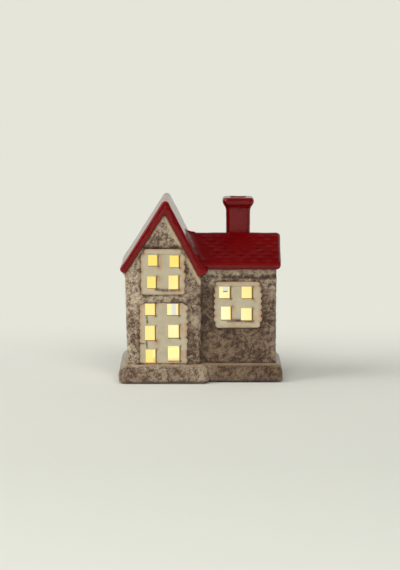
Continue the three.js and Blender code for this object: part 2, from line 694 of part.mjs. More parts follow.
function batteryCover() {
  const thickTab = block([switchBayLeft + SEAT_GAP, coverTabEnd], around(screwY, coverTabWidth),
    [caseBottom, coverTabTop]);
  const grip = block([bayLeft + GRIP_INSET, bayLeft + GRIP_INSET + GRIP_LENGTH], around(0, GRIP_WIDTH),
    [caseBottom - CUT_OVERRUN, caseBottom + GRIP_DEPTH]);
  const counterbore = disc(switchBayMiddle, screwY, SCREW_HEAD_DIAMETER / 2 + SEAT_GAP,
    caseBottom - CUT_OVERRUN, screwHeadTop + SEAT_GAP);
  const hole = disc(switchBayMiddle, screwY, screwRadius + SEAT_GAP, caseBottom, coverTabTop + CUT_OVERRUN);
  const plate = coverPlate(0, [caseBottom, flangeTop - SEAT_GAP / 3]).add(thickTab);
  return cutAll(plate, [grip, counterbore, hole]);
}

// Slots in the wall between the two bays, for the solder tags of the contact plates.
const tagHeights = { positive: flangeTop + POSITIVE_TAG_RISE, negative: caseCeiling - NEGATIVE_TAG_DROP };
const tagMiddles = { positive: POSITIVE_TAG_MIDDLE, negative: NEGATIVE_TAG_MIDDLE };
const knobSlotLength = KNOB_LENGTH + SWITCH_TRAVEL + 2 * SEAT_GAP;
const knobSlotWidth = KNOB_WIDTH + 2 * SEAT_GAP;

// Battery box: flange, battery bay, switch bay and screw boss in one moulding.
function batteryBox() {
  const body = caseBlock(0, [caseBottom, caseTop]).add(caseBlock(FLANGE_WIDTH, [caseBottom, flangeTop]));
  const below = caseBottom - CUT_OVERRUN;
  const bay = block([bayLeft, bayRight], around(0, 2 * bayHalfWidth), [below, caseCeiling]);
  const switchBay = block(around(switchBayMiddle, SWITCH_BAY_LENGTH), around(0, 2 * bayHalfWidth),
    [flangeTop, caseCeiling]);
  const knobSlot = block(around(switchBayMiddle, knobSlotWidth), around(switchY, knobSlotLength),
    [below, flangeTop + CUT_OVERRUN]);
  const tagSlots = ['positive', 'negative'].map((pole) => block(
    [bayRight - CUT_OVERRUN, switchBayLeft + CUT_OVERRUN],
    around(tagMiddles[pole], CONTACT_TAG_WIDTH + 2 * SEAT_GAP),
    [tagHeights[pole] - SEAT_GAP, tagHeights[pole] + CONTACT_THICKNESS + SEAT_GAP]));
  const leadHoles = [leadRoutes.red, leadRoutes.black].map(([, , , [x, y]]) => disc(
    x, y, LEAD_DIAMETER / 2 + 2 * SEAT_GAP, caseCeiling - CUT_OVERRUN, caseTop + CUT_OVERRUN));
  const coverSeat = coverPlate(SEAT_GAP, [below, flangeTop]);
  const shell = cutAll(body, [bay, switchBay, coverSeat, knobSlot, ...tagSlots, ...leadHoles]);
  const boss = disc(switchBayMiddle, screwY, bossRadius, coverTabTop + SEAT_GAP, caseCeiling + CASE_WALL / 2);
  const pilot = disc(switchBayMiddle, screwY, screwRadius + SEAT_GAP, coverTabTop,
    screwHeadTop + SCREW_LENGTH + SEAT_GAP);
  return shell.add(boss).subtract(pilot);
}

// Foam ring between the flange and the plinth's recess.
function boxGasket() {
  const outer = caseBlock(FLANGE_WIDTH, [flangeTop, flangeTop + GASKET_THICKNESS]);
  const inner = caseBlock(SEAT_GAP, [flangeTop - CUT_OVERRUN, flangeTop + GASKET_THICKNESS + CUT_OVERRUN]);
  return outer.subtract(inner);
}

// AAA cell lying along X. A pole of 1 points its nub to +X, and -1 to -X.
function battery(y, pole) {
  const radius = BATTERY_DIAMETER / 2;
  const nubRadius = BATTERY_NUB_DIAMETER / 2;
  const shoulder = BATTERY_LENGTH - BATTERY_NUB_LENGTH;
  const chamfer = BATTERY_EDGE_CHAMFER;
  const profile = [
    [0, 0], [radius - chamfer, 0], [radius, chamfer], [radius, shoulder - chamfer],
    [radius - chamfer, shoulder], [nubRadius, shoulder], [nubRadius, BATTERY_LENGTH], [0, BATTERY_LENGTH],
  ];
  const points = profile.map(([r, along]) => new THREE.Vector2(r, along));
  const geometry = new THREE.LatheGeometry(points, ROUND_SIDES);
  geometry.rotateZ(-pole * Math.PI / 2);
  const nubGap = CONTACT_THICKNESS + SEAT_GAP;
  const x = pole > 0 ? bayRight - nubGap - BATTERY_LENGTH : bayLeft + nubGap + BATTERY_LENGTH;
  geometry.translate(x, y, batteryHeight);
  return toSolid(geometry);
}

// Contact spring behind a cell: one coil of wire that narrows towards the cell.
function contactSpring(y, pole) {
  const wireRadius = SPRING_WIRE / 2;
  const wallEnd = (pole > 0 ? bayLeft : bayRight) + pole * (CONTACT_THICKNESS + wireRadius);
  const reach = SPRING_LENGTH - SPRING_WIRE;
  const stepsPerTurn = 12;
  const sides = 6;
  const rings = [];
  for (let step = 0; step <= SPRING_TURNS * stepsPerTurn; step += 1) {
    const share = step / (SPRING_TURNS * stepsPerTurn);
    const angle = 2 * Math.PI * step / stepsPerTurn;
    const coilRadius = THREE.MathUtils.lerp(SPRING_WALL_DIAMETER, SPRING_CELL_DIAMETER, share) / 2;
    const x = wallEnd + pole * (SEAT_GAP + reach * share);
    const ring = [];
    for (let side = 0; side < sides; side += 1) {
      const turn = -2 * Math.PI * side / sides;
      const radius = coilRadius + wireRadius * Math.cos(turn);
      ring.push(new THREE.Vector3(x + wireRadius * Math.sin(turn), y + radius * Math.cos(angle),
        batteryHeight + radius * Math.sin(angle)));
    }
    rings.push(ring);
  }
  return toSolid(skinOver(rings));
}

const contactHeights = around(batteryHeight, CONTACT_HEIGHT);

// Plate across both cells at the closed end of the bay.
function bridgePlate() {
  const width = 2 * batteryOffset + CONTACT_HEIGHT;
  return block([bayLeft, bayLeft + CONTACT_THICKNESS], around(0, width), contactHeights);
}

// Plate at the switch end, with a solder tag through the wall.
function polePlate(pole, y) {
  const sheet = [bayRight - CONTACT_THICKNESS, bayRight];
  const plate = block(sheet, around(y, CONTACT_HEIGHT), contactHeights);
  const [tagStart, tagEnd] = around(tagMiddles[pole], CONTACT_TAG_WIDTH);
  const tagZ = tagHeights[pole];
  const arm = block(sheet, [Math.min(tagStart, y), Math.max(tagEnd, y)],
    around(tagZ + CONTACT_THICKNESS / 2, CONTACT_ARM_HEIGHT));
  const tagReach = switchBayMiddle - SWITCH_BODY_WIDTH / 2 - SEAT_GAP;
  const tag = block([sheet[0], tagReach], [tagStart, tagEnd], [tagZ, tagZ + CONTACT_THICKNESS]);
  return plate.add(arm).add(tag);
}

// Switch: the slider's flange runs in a chamber of the body, and its knob stands in the slot below.
const chamberBottom = flangeTop + SLIDER_CHAMBER_RISE;
const chamberTop = chamberBottom + SLIDER_CHAMBER_HEIGHT;

function switchBody() {
  const outer = block(around(switchBayMiddle, SWITCH_BODY_WIDTH), around(switchY, SWITCH_BODY_LENGTH),
    [flangeTop, flangeTop + SWITCH_BODY_HEIGHT]);
  const room = block(around(switchBayMiddle, knobSlotWidth + 2 * SLIDER_FLANGE),
    around(switchY, knobSlotLength + 2 * SLIDER_FLANGE), [chamberBottom, chamberTop]);
  const slot = block(around(switchBayMiddle, knobSlotWidth), around(switchY, knobSlotLength),
    [flangeTop - CUT_OVERRUN, chamberTop]);
  return cutAll(outer, [room, slot]);
}

// The slider stands at its ON end, towards the back.
function switchSlider() {
  const y = switchY + SWITCH_TRAVEL / 2;
  const knobBottom = caseBottom + SEAT_GAP;
  const top = chamberTop - SEAT_GAP;
  const knob = block(around(switchBayMiddle, KNOB_WIDTH), around(y, KNOB_LENGTH), [knobBottom, top]);
  const flange = block(around(switchBayMiddle, KNOB_WIDTH + 2 * SLIDER_FLANGE),
    around(y, KNOB_LENGTH + 2 * SLIDER_FLANGE), [chamberBottom + SEAT_GAP, top]);
  const grooves = [-1, 0, 1].map((place) => block(
    around(switchBayMiddle, 2 * KNOB_WIDTH), around(y + place * KNOB_GROOVE_PITCH, KNOB_GROOVE_SIZE),
    [knobBottom - CUT_OVERRUN, knobBottom + KNOB_GROOVE_SIZE]));
  return cutAll(knob.add(flange), grooves);
}

// Lamp: a round-nosed 5 mm LED with a collar, on a spacer that lifts it off its board.
function lamp() {
  const bottom = boardTop + SPACER_HEIGHT;
  const radius = LAMP_DIAMETER / 2;
  const collar = radius + LAMP_COLLAR_WIDTH;
  const collarTop = bottom + LAMP_COLLAR_HEIGHT;
  const noseSteps = 5;
  const profile = [[0, bottom], [collar, bottom], [collar, collarTop], [radius, collarTop]];
  for (let step = 0; step <= noseSteps; step += 1) {
    const angle = Math.PI / 2 * step / noseSteps;
    profile.push([step < noseSteps ? radius * Math.cos(angle) : 0,
      bottom + LAMP_HEIGHT - radius + radius * Math.sin(angle)]);
  }
  return turned(profile, lampX, 0);
}

// Frosted cap over the lamp, with a notch for the leads in its rim.
function diffuser() {
  const outer = DIFFUSER_DIAMETER / 2;
  const inner = outer - DIFFUSER_WALL;
  const shoulder = boardTop + SPACER_HEIGHT + LAMP_HEIGHT + DIFFUSER_HEADROOM - DIFFUSER_DOME_RISE;
  const domeSteps = 5;
  const arc = (radius, rise) => Array.from({ length: domeSteps + 1 }, (_, step) => {
    const angle = Math.PI / 2 * step / domeSteps;
    return [step < domeSteps ? radius * Math.cos(angle) : 0, shoulder + rise * Math.sin(angle)];
  });
  const outside = [[outer, caseTop], ...arc(outer, DIFFUSER_DOME_RISE + DIFFUSER_WALL)];
  const inside = [[inner, caseTop], ...arc(inner, DIFFUSER_DOME_RISE)].reverse();
  const cap = turned([...inside, ...outside], lampX, 0);
  const notch = block([lampX + inner - CUT_OVERRUN, lampX + outer + CUT_OVERRUN],
    around(0, DIFFUSER_NOTCH_WIDTH), [caseTop - CUT_OVERRUN, boardTop + DIFFUSER_NOTCH_RISE]);
  return cap.subtract(notch);
}

// Insulated leads, as routes from the switch bay over the box to the board. Each fourth point is in its hole.
const leadRoutes = {
  red: [
    [29.4, -2.6, flangeTop + SWITCH_BODY_HEIGHT + SEAT_GAP], [29.4, -2.6, 9], [29.4, -2.6, 11.5],
    [29.4, -2.6, 14], [28.2, -2.4, 15.9], [24, -1.4, 16.1], [18, 0.5, 16], [12.5, 1.3, 16.1],
    [9.4, 1.5, 16.9], [6.6, 1.5, 17.3], [4.9, 1.5, 17.2],
  ],
  black: [
    [26.1, -7, 10.9], [27.6, -7, 11.1], [28.4, -7, 12.2], [28.5, -7, 14.1],
    [27.4, -6.7, 15.9], [23, -5.6, 16.1], [17.5, -3.6, 16], [12.5, -2, 16.1],
    [9.4, -1.5, 16.9], [6.6, -1.4, 17.3], [4.9, -1.4, 17.2],
  ],
};

function lead(route) {
  const path = new THREE.CatmullRomCurve3(route.map(([x, y, z]) => new THREE.Vector3(x, y, z)));
  const section = circleShape(0, 0, LEAD_DIAMETER / 2);
  const options = { steps: 30, curveSegments: CORNER_STEPS, extrudePath: path };
  return toSolid(new THREE.ExtrudeGeometry(section, options));
}

function resistor() {
  const radius = RESISTOR_DIAMETER / 2;
  const geometry = new THREE.CylinderGeometry(radius, radius, RESISTOR_LENGTH, ROUND_SIDES / 2);
  geometry.rotateZ(Math.PI / 2);
  geometry.translate(lampX, -SPACER_DIAMETER / 2 - SEAT_GAP - radius, boardTop + radius);
  return toSolid(geometry);
}

const house = new THREE.Group();

function place(name, solid, finish) {
  const mesh = new THREE.Mesh(toGeometry(solid), new THREE.MeshStandardMaterial(FINISHES[finish]));
  mesh.name = name;
  house.add(mesh);
}

place('plinth', plinth(), 'stoneGlaze');
place('tower_walls', towerWalls(), 'stoneGlaze');
place('wing_walls', wingWalls(), 'stoneGlaze');
place('tower_roof', towerRoof(), 'redGlaze');
place('wing_roof', wingRoof(), 'redGlaze');
place('chimney', chimney(), 'redGlaze');
place('tower_lower_window', windowPlaque(towerDoorWindow), 'creamGlaze');
place('tower_upper_window', windowPlaque(towerUpperWindow), 'creamGlaze');
place('wing_window', windowPlaque(wingWindow), 'creamGlaze');
place('tower_back_window', windowPlaque(towerBackWindow), 'creamGlaze');
place('wing_back_window', windowPlaque(wingBackWindow), 'creamGlaze');
padMiddles().forEach(([x, y], i) => {
  place(`foot_pad_${i + 1}`, disc(x, y, PAD_DIAMETER / 2, 0, PAD_THICKNESS), 'felt');
});
place('box_gasket', boxGasket(), 'foam');
place('battery_box', batteryBox(), 'casePlastic');
place('battery_cover', batteryCover(), 'casePlastic');
place('cover_screw', coverScrew(), 'nickel');
place('battery_front', battery(-batteryOffset, -1), 'batteryWrap');
place('battery_back', battery(batteryOffset, 1), 'batteryWrap');
place('contact_spring_front', contactSpring(-batteryOffset, -1), 'nickel');
place('contact_spring_back', contactSpring(batteryOffset, 1), 'nickel');
place('bridge_plate', bridgePlate(), 'nickel');
place('negative_plate', polePlate('negative', -batteryOffset), 'nickel');
place('positive_plate', polePlate('positive', batteryOffset), 'nickel');
place('switch_body', switchBody(), 'nickel');
place('switch_slider', switchSlider(), 'switchPlastic');
place('lamp_board', disc(lampX, 0, BOARD_DIAMETER / 2, caseTop, boardTop), 'circuitBoard');
place('lamp_spacer', disc(lampX, 0, SPACER_DIAMETER / 2, boardTop, boardTop + SPACER_HEIGHT), 'casePlastic');
place('lamp', lamp(), 'warmLamp');
place('lamp_diffuser', diffuser(), 'frostedCap');
place('lamp_resistor', resistor(), 'resistorBody');
place('lead_red', lead(leadRoutes.red), 'redWire');
place('lead_black', lead(leadRoutes.black), 'blackWire');

export default house;
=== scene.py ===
import math

import bmesh
import bpy
import numpy as np
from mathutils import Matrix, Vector, noise


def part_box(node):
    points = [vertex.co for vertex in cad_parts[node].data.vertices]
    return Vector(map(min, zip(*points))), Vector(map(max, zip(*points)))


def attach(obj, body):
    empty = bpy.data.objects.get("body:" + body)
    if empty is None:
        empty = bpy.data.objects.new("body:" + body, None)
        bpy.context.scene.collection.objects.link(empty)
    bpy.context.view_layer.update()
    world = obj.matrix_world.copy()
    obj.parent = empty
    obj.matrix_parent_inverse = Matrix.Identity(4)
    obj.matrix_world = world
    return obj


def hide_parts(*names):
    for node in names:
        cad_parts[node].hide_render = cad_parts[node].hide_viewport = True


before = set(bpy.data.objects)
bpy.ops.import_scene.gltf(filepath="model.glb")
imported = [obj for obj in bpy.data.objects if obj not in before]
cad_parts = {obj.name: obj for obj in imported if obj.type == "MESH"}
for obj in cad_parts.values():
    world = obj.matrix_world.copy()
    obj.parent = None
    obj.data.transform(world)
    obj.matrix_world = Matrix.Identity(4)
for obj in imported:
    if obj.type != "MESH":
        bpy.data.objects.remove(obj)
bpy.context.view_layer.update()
MM = 0.001

# Camera. A long lens looks square on at the front from 7.6 degrees above, as the photograph does.
# It stands 1.3 m off, where one pixel of the 400 x 570 picture is 0.6 mm at the front of the house.
def add_object(name, data):
    """An object in the scene."""
    obj = bpy.data.objects.new(name, data)
    bpy.context.scene.collection.objects.link(obj)
    return obj


camera_data = bpy.data.cameras.new("camera")
camera_data.sensor_fit = "HORIZONTAL"
camera_data.sensor_width = 36
camera_data.lens = 195
camera = add_object("camera", camera_data)
camera.location = (-0.85 * MM, -1317.6 * MM, 232.2 * MM)
camera.rotation_euler = (math.radians(90 - 7.6), 0, 0)
bpy.context.scene.camera = camera
bpy.context.scene.view_settings.view_transform = "Standard"


# Studio. A pale sweep of card makes the floor and the backdrop. A soft lamp stands at the upper left and a
# wider one over the camera, and the room behind the camera is dim, so the glazes keep their depth.
def linear(hex_colour):
    """A six-digit sRGB colour as linear red, green, blue and alpha."""
    channels = [int(hex_colour[i:i + 2], 16) / 255 for i in (0, 2, 4)]
    return [c / 12.92 if c <= 0.04045 else ((c + 0.055) / 1.055) ** 2.4 for c in channels] + [1]


def feed(node, inputs):
    """Gives inputs by name or in order, each a number, vector, hex colour, node or node's output."""
    for key, value in inputs.items() if isinstance(inputs, dict) else enumerate(inputs):
        if isinstance(value, bpy.types.Node):
            value = next(output for output in value.outputs if output.enabled)
        if isinstance(value, bpy.types.NodeSocket):
            node.id_data.links.new(value, node.inputs[key])
        else:
            node.inputs[key].default_value = linear(value) if isinstance(value, str) else value


def add_node(tree, kind, inputs=(), stops=(), **settings):
    """A node with its settings, links and a ramp's stops. Shader nodes go without that word in their kind."""
    node = tree.nodes.new(kind if "Node" in kind else "ShaderNode" + kind)
    for name, value in settings.items():
        setattr(node, name, value)
    for number, (position, colour) in enumerate(stops):
        ramp = node.color_ramp.elements
        stop = ramp[number] if number < 2 else ramp.new(position)
        stop.position = position
        stop.color = linear(colour)
    feed(node, inputs)
    return node


def start_material(name):
    """An empty material with its tree, its shader and the place on the object that patterns follow."""
    material = bpy.data.materials.new(name)
    material.use_nodes = True
    tree = material.node_tree
    tree.nodes.clear()
    shader = add_node(tree, "BsdfPrincipled")
    add_node(tree, "OutputMaterial", [shader])
    return material, tree, shader, add_node(tree, "TexCoord").outputs["Object"]


def new_object(name, vertices, faces):
    """A mesh object from vertices in millimetres and lists of their indices."""
    mesh = bpy.data.meshes.new(name)
    mesh.from_pydata([[c * MM for c in vertex] for vertex in vertices], [], [list(face) for face in faces])
    mesh.update()
    return add_object(name, mesh)


SWEEP_HALF_WIDTH = 5000
SWEEP_FRONT = -5000
SWEEP_BEND_START = 1500
SWEEP_BEND_RADIUS = 400
SWEEP_HEIGHT = 2200
sweep_line = [(SWEEP_FRONT, 0)]
for step in range(25):
    angle = math.pi / 2 * step / 24
    sweep_line.append((SWEEP_BEND_START + SWEEP_BEND_RADIUS * math.sin(angle),
                       SWEEP_BEND_RADIUS * (1 - math.cos(angle))))
sweep_line.append((SWEEP_BEND_START + SWEEP_BEND_RADIUS, SWEEP_HEIGHT))
sweep = new_object("sweep", [(x, y, z) for y, z in sweep_line for x in (-SWEEP_HALF_WIDTH, SWEEP_HALF_WIDTH)],
                   [(2 * i, 2 * i + 1, 2 * i + 3, 2 * i + 2) for i in range(len(sweep_line) - 1)])
sweep.data.shade_smooth()

# Matt paper card: a warm off-white with hardly any sheen. Behind the house it shows its plain colour to the
# camera and in reflections, so that the backdrop stays even, and it gives no light of its own to the house.
card, tree, shader, place = start_material("matt_card")
depth = add_node(tree, "SeparateXYZ", {"Vector": place}).outputs["Y"]
backwards = add_node(tree, "MapRange", {"Value": depth, "From Min": -250 * MM, "From Max": 100 * MM})
# Painted light: the card's colour is darker towards the front and paler towards the back, for how the light
# falls across the sweep.
shade = add_node(tree, "Mix", {"Factor": backwards, "A": "e0e1d7", "B": "efefe6"}, data_type="RGBA")
feed(shader, {"Base Color": shade, "Roughness": 0.9, "Specular IOR Level": 0.1})
ray = add_node(tree, "LightPath").outputs
mirrored = add_node(tree, "Math", [ray["Is Glossy Ray"], ray["Is Transmission Ray"]], operation="MAXIMUM")
seen = add_node(tree, "Math", [ray["Is Camera Ray"], mirrored], operation="MAXIMUM")
far = add_node(tree, "MapRange", {"Value": depth, "From Min": 0, "From Max": 220 * MM},
               interpolation_type="SMOOTHSTEP")
even = add_node(tree, "Math", [seen, far], operation="MULTIPLY")
plain = add_node(tree, "Emission", {"Color": "e5e5da", "Strength": 1.0})
backdrop = add_node(tree, "MixShader", [even, shader, plain])
feed(tree.nodes["Material Output"], {"Surface": backdrop})
sweep.data.materials.append(card)

# Two soft discs, each with its width, energy, colour and place in metres. The fill stands over the camera and
# lights the fronts, and glossy glazes don't mirror it.
AIM = Vector((0, 0, 0.05))
for name, size, energy, colour, spot in (("key", 1.4, 16, (1.0, 0.99, 0.975), (-1.25, -0.5, 1.15)),
                                         ("fill", 2.4, 48, (1, 1, 1), (0.15, -1.95, 1.3))):
    disc = bpy.data.lights.new(name, "AREA")
    disc.shape = "DISK"
    disc.size = size
    disc.energy = energy
    disc.color = colour
    soft_lamp = add_object(name, disc)
    soft_lamp.location = spot
    soft_lamp.rotation_euler = (AIM - soft_lamp.location).to_track_quat("-Z", "Y").to_euler()
    soft_lamp.visible_glossy = name == "key"

# The room is bright behind the house, dimmer at its sides, and dark above and behind the camera.
world = bpy.data.worlds.new("room")
world.use_nodes = True
tree = world.node_tree
tree.nodes.clear()
direction = add_node(tree, "TexCoord").outputs["Generated"]
towards_back = add_node(tree, "VectorMath", [direction, (-0.1, 0.85, -0.55)], operation="DOT_PRODUCT")
room_ramp = add_node(tree, "MapRange", {"Value": towards_back, "From Min": -0.4,
                     "From Max": 0.6, "To Min": 0.05, "To Max": 1.05}, interpolation_type="SMOOTHSTEP")
room_light = add_node(tree, "Background", {"Color": "fcfcf8", "Strength": room_ramp})
add_node(tree, "OutputWorld", {"Surface": room_light})
bpy.context.scene.world = world


# Plinth. A slip-cast earthenware tray with rounded edges, stepped where the tower stands forward of the wing.
# It is open below for the light module, and its mottled glaze has an iron wash rubbed into the hollows.
# Lengths are millimetres from here on, and the mesh helpers turn them into metres.
def rounded_ring(x0, x1, y0, y1, z, radius):
    """A rectangle's outline at one height, anticlockwise, with round corners."""
    corners = ((x1 - radius, y0 + radius, -90), (x1 - radius, y1 - radius, 0),
               (x0 + radius, y1 - radius, 90), (x0 + radius, y0 + radius, 180))
    return [(x + radius * math.cos(math.radians(turn)), y + radius * math.sin(math.radians(turn)), z)
            for x, y, start in corners for turn in range(start, start + 91, 15)]


def ring_stack(name, rings):
    """A closed solid skinned over rings that have as many points each."""
    count = len(rings[0])
    faces = [range(count), range((len(rings) - 1) * count, len(rings) * count)]
    for level in range(len(rings) - 1):
        for i in range(count):
            a = level * count + i
            b = level * count + (i + 1) % count
            faces.append((a, b, b + count, a + count))
    obj = new_object(name, [point for ring in rings for point in ring], faces)
    shape = bmesh.new()
    shape.from_mesh(obj.data)
    bmesh.ops.recalc_face_normals(shape, faces=shape.faces)
    shape.to_mesh(obj.data)
    shape.free()
    return obj


def prism(name, axis, profile, start, end):
    """A solid with one flat section along X or Y. The profile's heights are its second numbers."""
    return ring_stack(name, [[(station, u, v) if axis == "X" else (u, station, v) for u, v in profile]
                             for station in (start, end)])


def block(name, low, high):
    """A closed box between two corners."""
    corners = ((low[0], low[1]), (high[0], low[1]), (high[0], high[1]), (low[0], high[1]))
    return ring_stack(name, [[(x, y, z) for x, y in corners] for z in (low[2], high[2])])


def settle(obj):
    """Replaces the object's mesh by its evaluated one and takes its modifiers off."""
    depsgraph = bpy.context.evaluated_depsgraph_get()
    mesh = bpy.data.meshes.new_from_object(obj.evaluated_get(depsgraph))
    obj.modifiers.clear()
    obj.data = mesh


def modify(obj, kind, **settings):
    """Works one modifier with its settings into the mesh."""
    modifier = obj.modifiers.new(kind, kind)
    for name, value in settings.items():
        setattr(modifier, name, value)
    settle(obj)


def combine(obj, operation, *tools):
    """Cuts solids from the object or joins them on, and removes them."""
    for tool in tools:
        modify(obj, "BOOLEAN", object=tool, operation=operation, solver="EXACT")
        bpy.data.objects.remove(tool)


def round_off(obj, width):
    """Rounds the hard edges of a plain solid."""
    modify(obj, "BEVEL", width=width * MM, segments=4, limit_method="ANGLE", angle_limit=math.radians(25))


def cast(obj, voxel, passes):
    """Turns a hard-edged solid into the soft, even skin of a slip casting."""
    modify(obj, "REMESH", mode="VOXEL", voxel_size=voxel * MM)
    modify(obj, "SMOOTH", factor=0.5, iterations=passes)


def vectors(elements, field):
    """A field of three numbers for each of a mesh's vertices or faces."""
    values = np.empty(len(elements) * 3)
    elements.foreach_get(field, values)
    return values.reshape(-1, 3)


def points_of(obj):
    """Vertex places in millimetres."""
    return vectors(obj.data.vertices, "co") / MM


def normals_of(obj):
    return vectors(obj.data.vertices, "normal")


def move_points(obj, points):
    obj.data.vertices.foreach_set("co", points.ravel() * MM)
    obj.data.update()


def store(obj, **fields):
    """Keeps one number from 0 to 1 per vertex and field, which the glaze's material reads by name."""
    for name, values in fields.items():
        attribute = obj.data.attributes.get(name) or obj.data.attributes.new(name, "FLOAT", "POINT")
        values = np.broadcast_to(values, len(obj.data.vertices))
        attribute.data.foreach_set("value", np.clip(values, 0, 1).astype(np.float32))


def lumps(points, size, octaves, seed):
    """Smooth random lumps of one size, roughly from -1 to 1."""
    shift = Vector((13.1, 7.7, 3.3)) * seed
    return np.array([noise.fractal(Vector(p) + shift, 0.9, 2.1, octaves) for p in points / size])


def rise(values, start, end):
    """0 up to start, 1 from end on and smooth between them."""
    share = np.clip((values - start) / (end - start), 0, 1)
    return share * share * (3 - 2 * share)


def near_line(points, line, width):
    """1 on a line drawn in X and Z, falling off over its half width."""
    flat = points[:, (0, 2)]
    nearest = np.full(len(flat), 1e9)
    for start, end in zip(line[:-1], line[1:]):
        start, along = np.array(start), np.array(end) - np.array(start)
        share = np.clip((flat - start) @ along / (along @ along), 0, 1)
        nearest = np.minimum(nearest, np.linalg.norm(flat - start - share[:, None] * along, axis=1))
    return np.exp(-(nearest / width) ** 2)


def swell_out(obj, distance):
    """Moves each vertex along its normal, in millimetres."""
    move_points(obj, points_of(obj) + normals_of(obj) * distance[:, None])


def stone_relief(obj, seed, calm=0.0, grooves=0.0):
    """Pits and swells of the rough-cast surface along the normals, kept as the relief field.
    Calm is how smooth each vertex stays and grooves how far drawn lines are pressed in, both from 0 to 1."""
    points = points_of(obj)
    crumbs = 0.5 + 0.75 * lumps(points, 2.3, 3, seed)
    folds = np.abs(lumps(points, 3.4, 2, seed + 1))
    height = np.clip(crumbs - 0.45 * np.exp(-(folds / 0.09) ** 2) + 0.12, 0, 1)
    swell = lumps(points, 13, 2, seed + 2)
    swell_out(obj, (height - 0.55) * 0.5 * (1 - calm) + 0.2 * swell * (1 - 0.7 * calm) - 0.35 * grooves)
    store(obj, relief=0.5 + 0.5 * (height - 0.55) * (1 - 0.6 * calm) + 0.12 * swell)


def inside_boxes(obj, boxes):
    """Which faces have their middles in one of the boxes."""
    middles = vectors(obj.data.polygons, "center") / MM
    found = np.zeros(len(middles), bool)
    for low, high in boxes:
        found |= np.all((middles > np.array(low)) & (middles < np.array(high)), axis=1)
    return found


def paint(obj, faces, index):
    """Gives chosen faces the material with this index."""
    indices = np.empty(len(obj.data.polygons), np.int32)
    obj.data.polygons.foreach_get("material_index", indices)
    indices[faces] = index
    obj.data.polygons.foreach_set("material_index", indices)


def finish(obj, materials, body, slot, *nodes):
    """A piece's materials and shading, the body it rides on and the nodes it stands for."""
    for material in materials:
        obj.data.materials.append(material)
    obj.data.shade_smooth()
    obj.data.set_sharp_from_angle(angle=math.radians(50))
    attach(obj, body)
    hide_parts(*nodes)


def node_box(node):
    """A node's lower and upper corner in millimetres."""
    return [[c / MM for c in corner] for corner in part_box(node)]


# Satin stoneware glaze, brushed on thin over a rough casting: grey-beige on the swells, where the wash was
# wiped off, dark brown in the pits, and rusty where more iron stayed. Its fields are relief (0 pit, 1 swell),
# wash (1 iron line; it also carries painted shade in the wing's corner by the tower and a painted shadow line
# over the upper plaque), pale (1 wiped clean; on the plinth's upward ledge it is painted light) and dusk (1
# coloured darker: the wing, most of all low down, the tower's right part and gable top, and the plinth).
stone, tree, shader, place = start_material("mottled_stone_glaze")
fields = {name: add_node(tree, "Attribute", attribute_name=name).outputs["Fac"]
          for name in ("relief", "wash", "pale", "dusk")}
speck = add_node(tree, "TexNoise", {"Vector": place, "Scale": 1 / (0.95 * MM), "Detail": 3,
                 "Roughness": 0.7})
patch = add_node(tree, "TexNoise", {"Vector": place, "Scale": 1 / (10 * MM), "Detail": 3,
                 "Roughness": 0.65})
height = add_node(tree, "Math", [speck, 1.5, fields["relief"]], operation="MULTIPLY_ADD")
height = add_node(tree, "Math", [patch, 0.7, height], operation="MULTIPLY_ADD")
height = add_node(tree, "Math", [height, 1.35, -1.62], operation="MULTIPLY_ADD")
tone = add_node(tree, "ValToRGB", {"Fac": height}, (
    (0.12, "46362c"), (0.34, "6c5847"), (0.52, "978770"), (0.95, "c2b299")))
rust_share = add_node(tree, "MapRange", {"Value": patch, "From Min": 0.56, "From Max": 0.4, "To Min": 0,
                      "To Max": 0.3})
glaze = tone
for share, colour, blend in ((rust_share, "745443", "MIX"), (fields["dusk"], "a6978d", "MULTIPLY"),
                             (fields["pale"], "c0ab8a", "MIX"), (fields["wash"], "361f15", "MIX")):
    glaze = add_node(tree, "Mix", {"Factor": share, "A": glaze, "B": colour}, data_type="RGBA",
                     blend_type=blend)
bump = add_node(tree, "Bump", {"Height": speck, "Strength": 0.6, "Distance": 0.12 * MM})
feed(shader, {"Base Color": glaze, "Normal": bump, "Roughness": 0.3})

# Bare bisque inside the casting, flooded with warm light by the lamp: a deeper yellow further away from it.
lamp_low, lamp_high = node_box("lamp")
lamp_middle = [(a + b) / 2 * MM for a, b in zip(lamp_low, lamp_high)]
bisque, tree, shader, place = start_material("lamplit_bisque")
away = add_node(tree, "VectorMath", [place, lamp_middle], operation="DISTANCE")
fade = add_node(tree, "MapRange", {"Value": away, "From Min": 22 * MM,
                "From Max": 50 * MM})
warmth = add_node(tree, "Mix", {"Factor": fade, "A": "f0f6cc", "B": "f0da76"}, data_type="RGBA")
feed(shader, {"Emission Color": warmth, "Emission Strength": 0.88, "Base Color": "8f8063",
     "Roughness": 0.8})

plinth_low, plinth_high = node_box("plinth")
tower_low, tower_high = node_box("tower_walls")
wing_low, wing_high = node_box("wing_walls")
gasket_low, gasket_high = node_box("box_gasket")
WALL = 3.5
SEAT_GAP = 0.3
FLANGE = 3
LEDGE = tower_low[0] - plinth_low[0]
PLINTH_FLOOR = plinth_low[2] + 4
STONE_VOXEL = 0.62
# Heights above the house and below its walls, for cutting and choosing.
SKY = 130
DEEP = 5

# Each level is a share of the plinth's height and how far its outline stands in there.
PLINTH_LEVELS = ((0, 1.0), (0.1, 0.15), (0.5, 0.2), (0.78, 0.8), (0.93, 1.8), (1, 3.2))


def plinth_block(name, x0, x1, half_depth):
    height = plinth_high[2] - plinth_low[2]
    return ring_stack(name, [
        rounded_ring(x0 + inset, x1 - inset, -half_depth + inset, half_depth - inset,
                     plinth_low[2] + share * height, 3) for share, inset in PLINTH_LEVELS])


def gasket_block(name, wider, top):
    """A box from the ground up, so much wider than the gasket on each side."""
    return block(name, (gasket_low[0] - wider, gasket_low[1] - wider, 0),
                 (gasket_high[0] + wider, gasket_high[1] + wider, top))


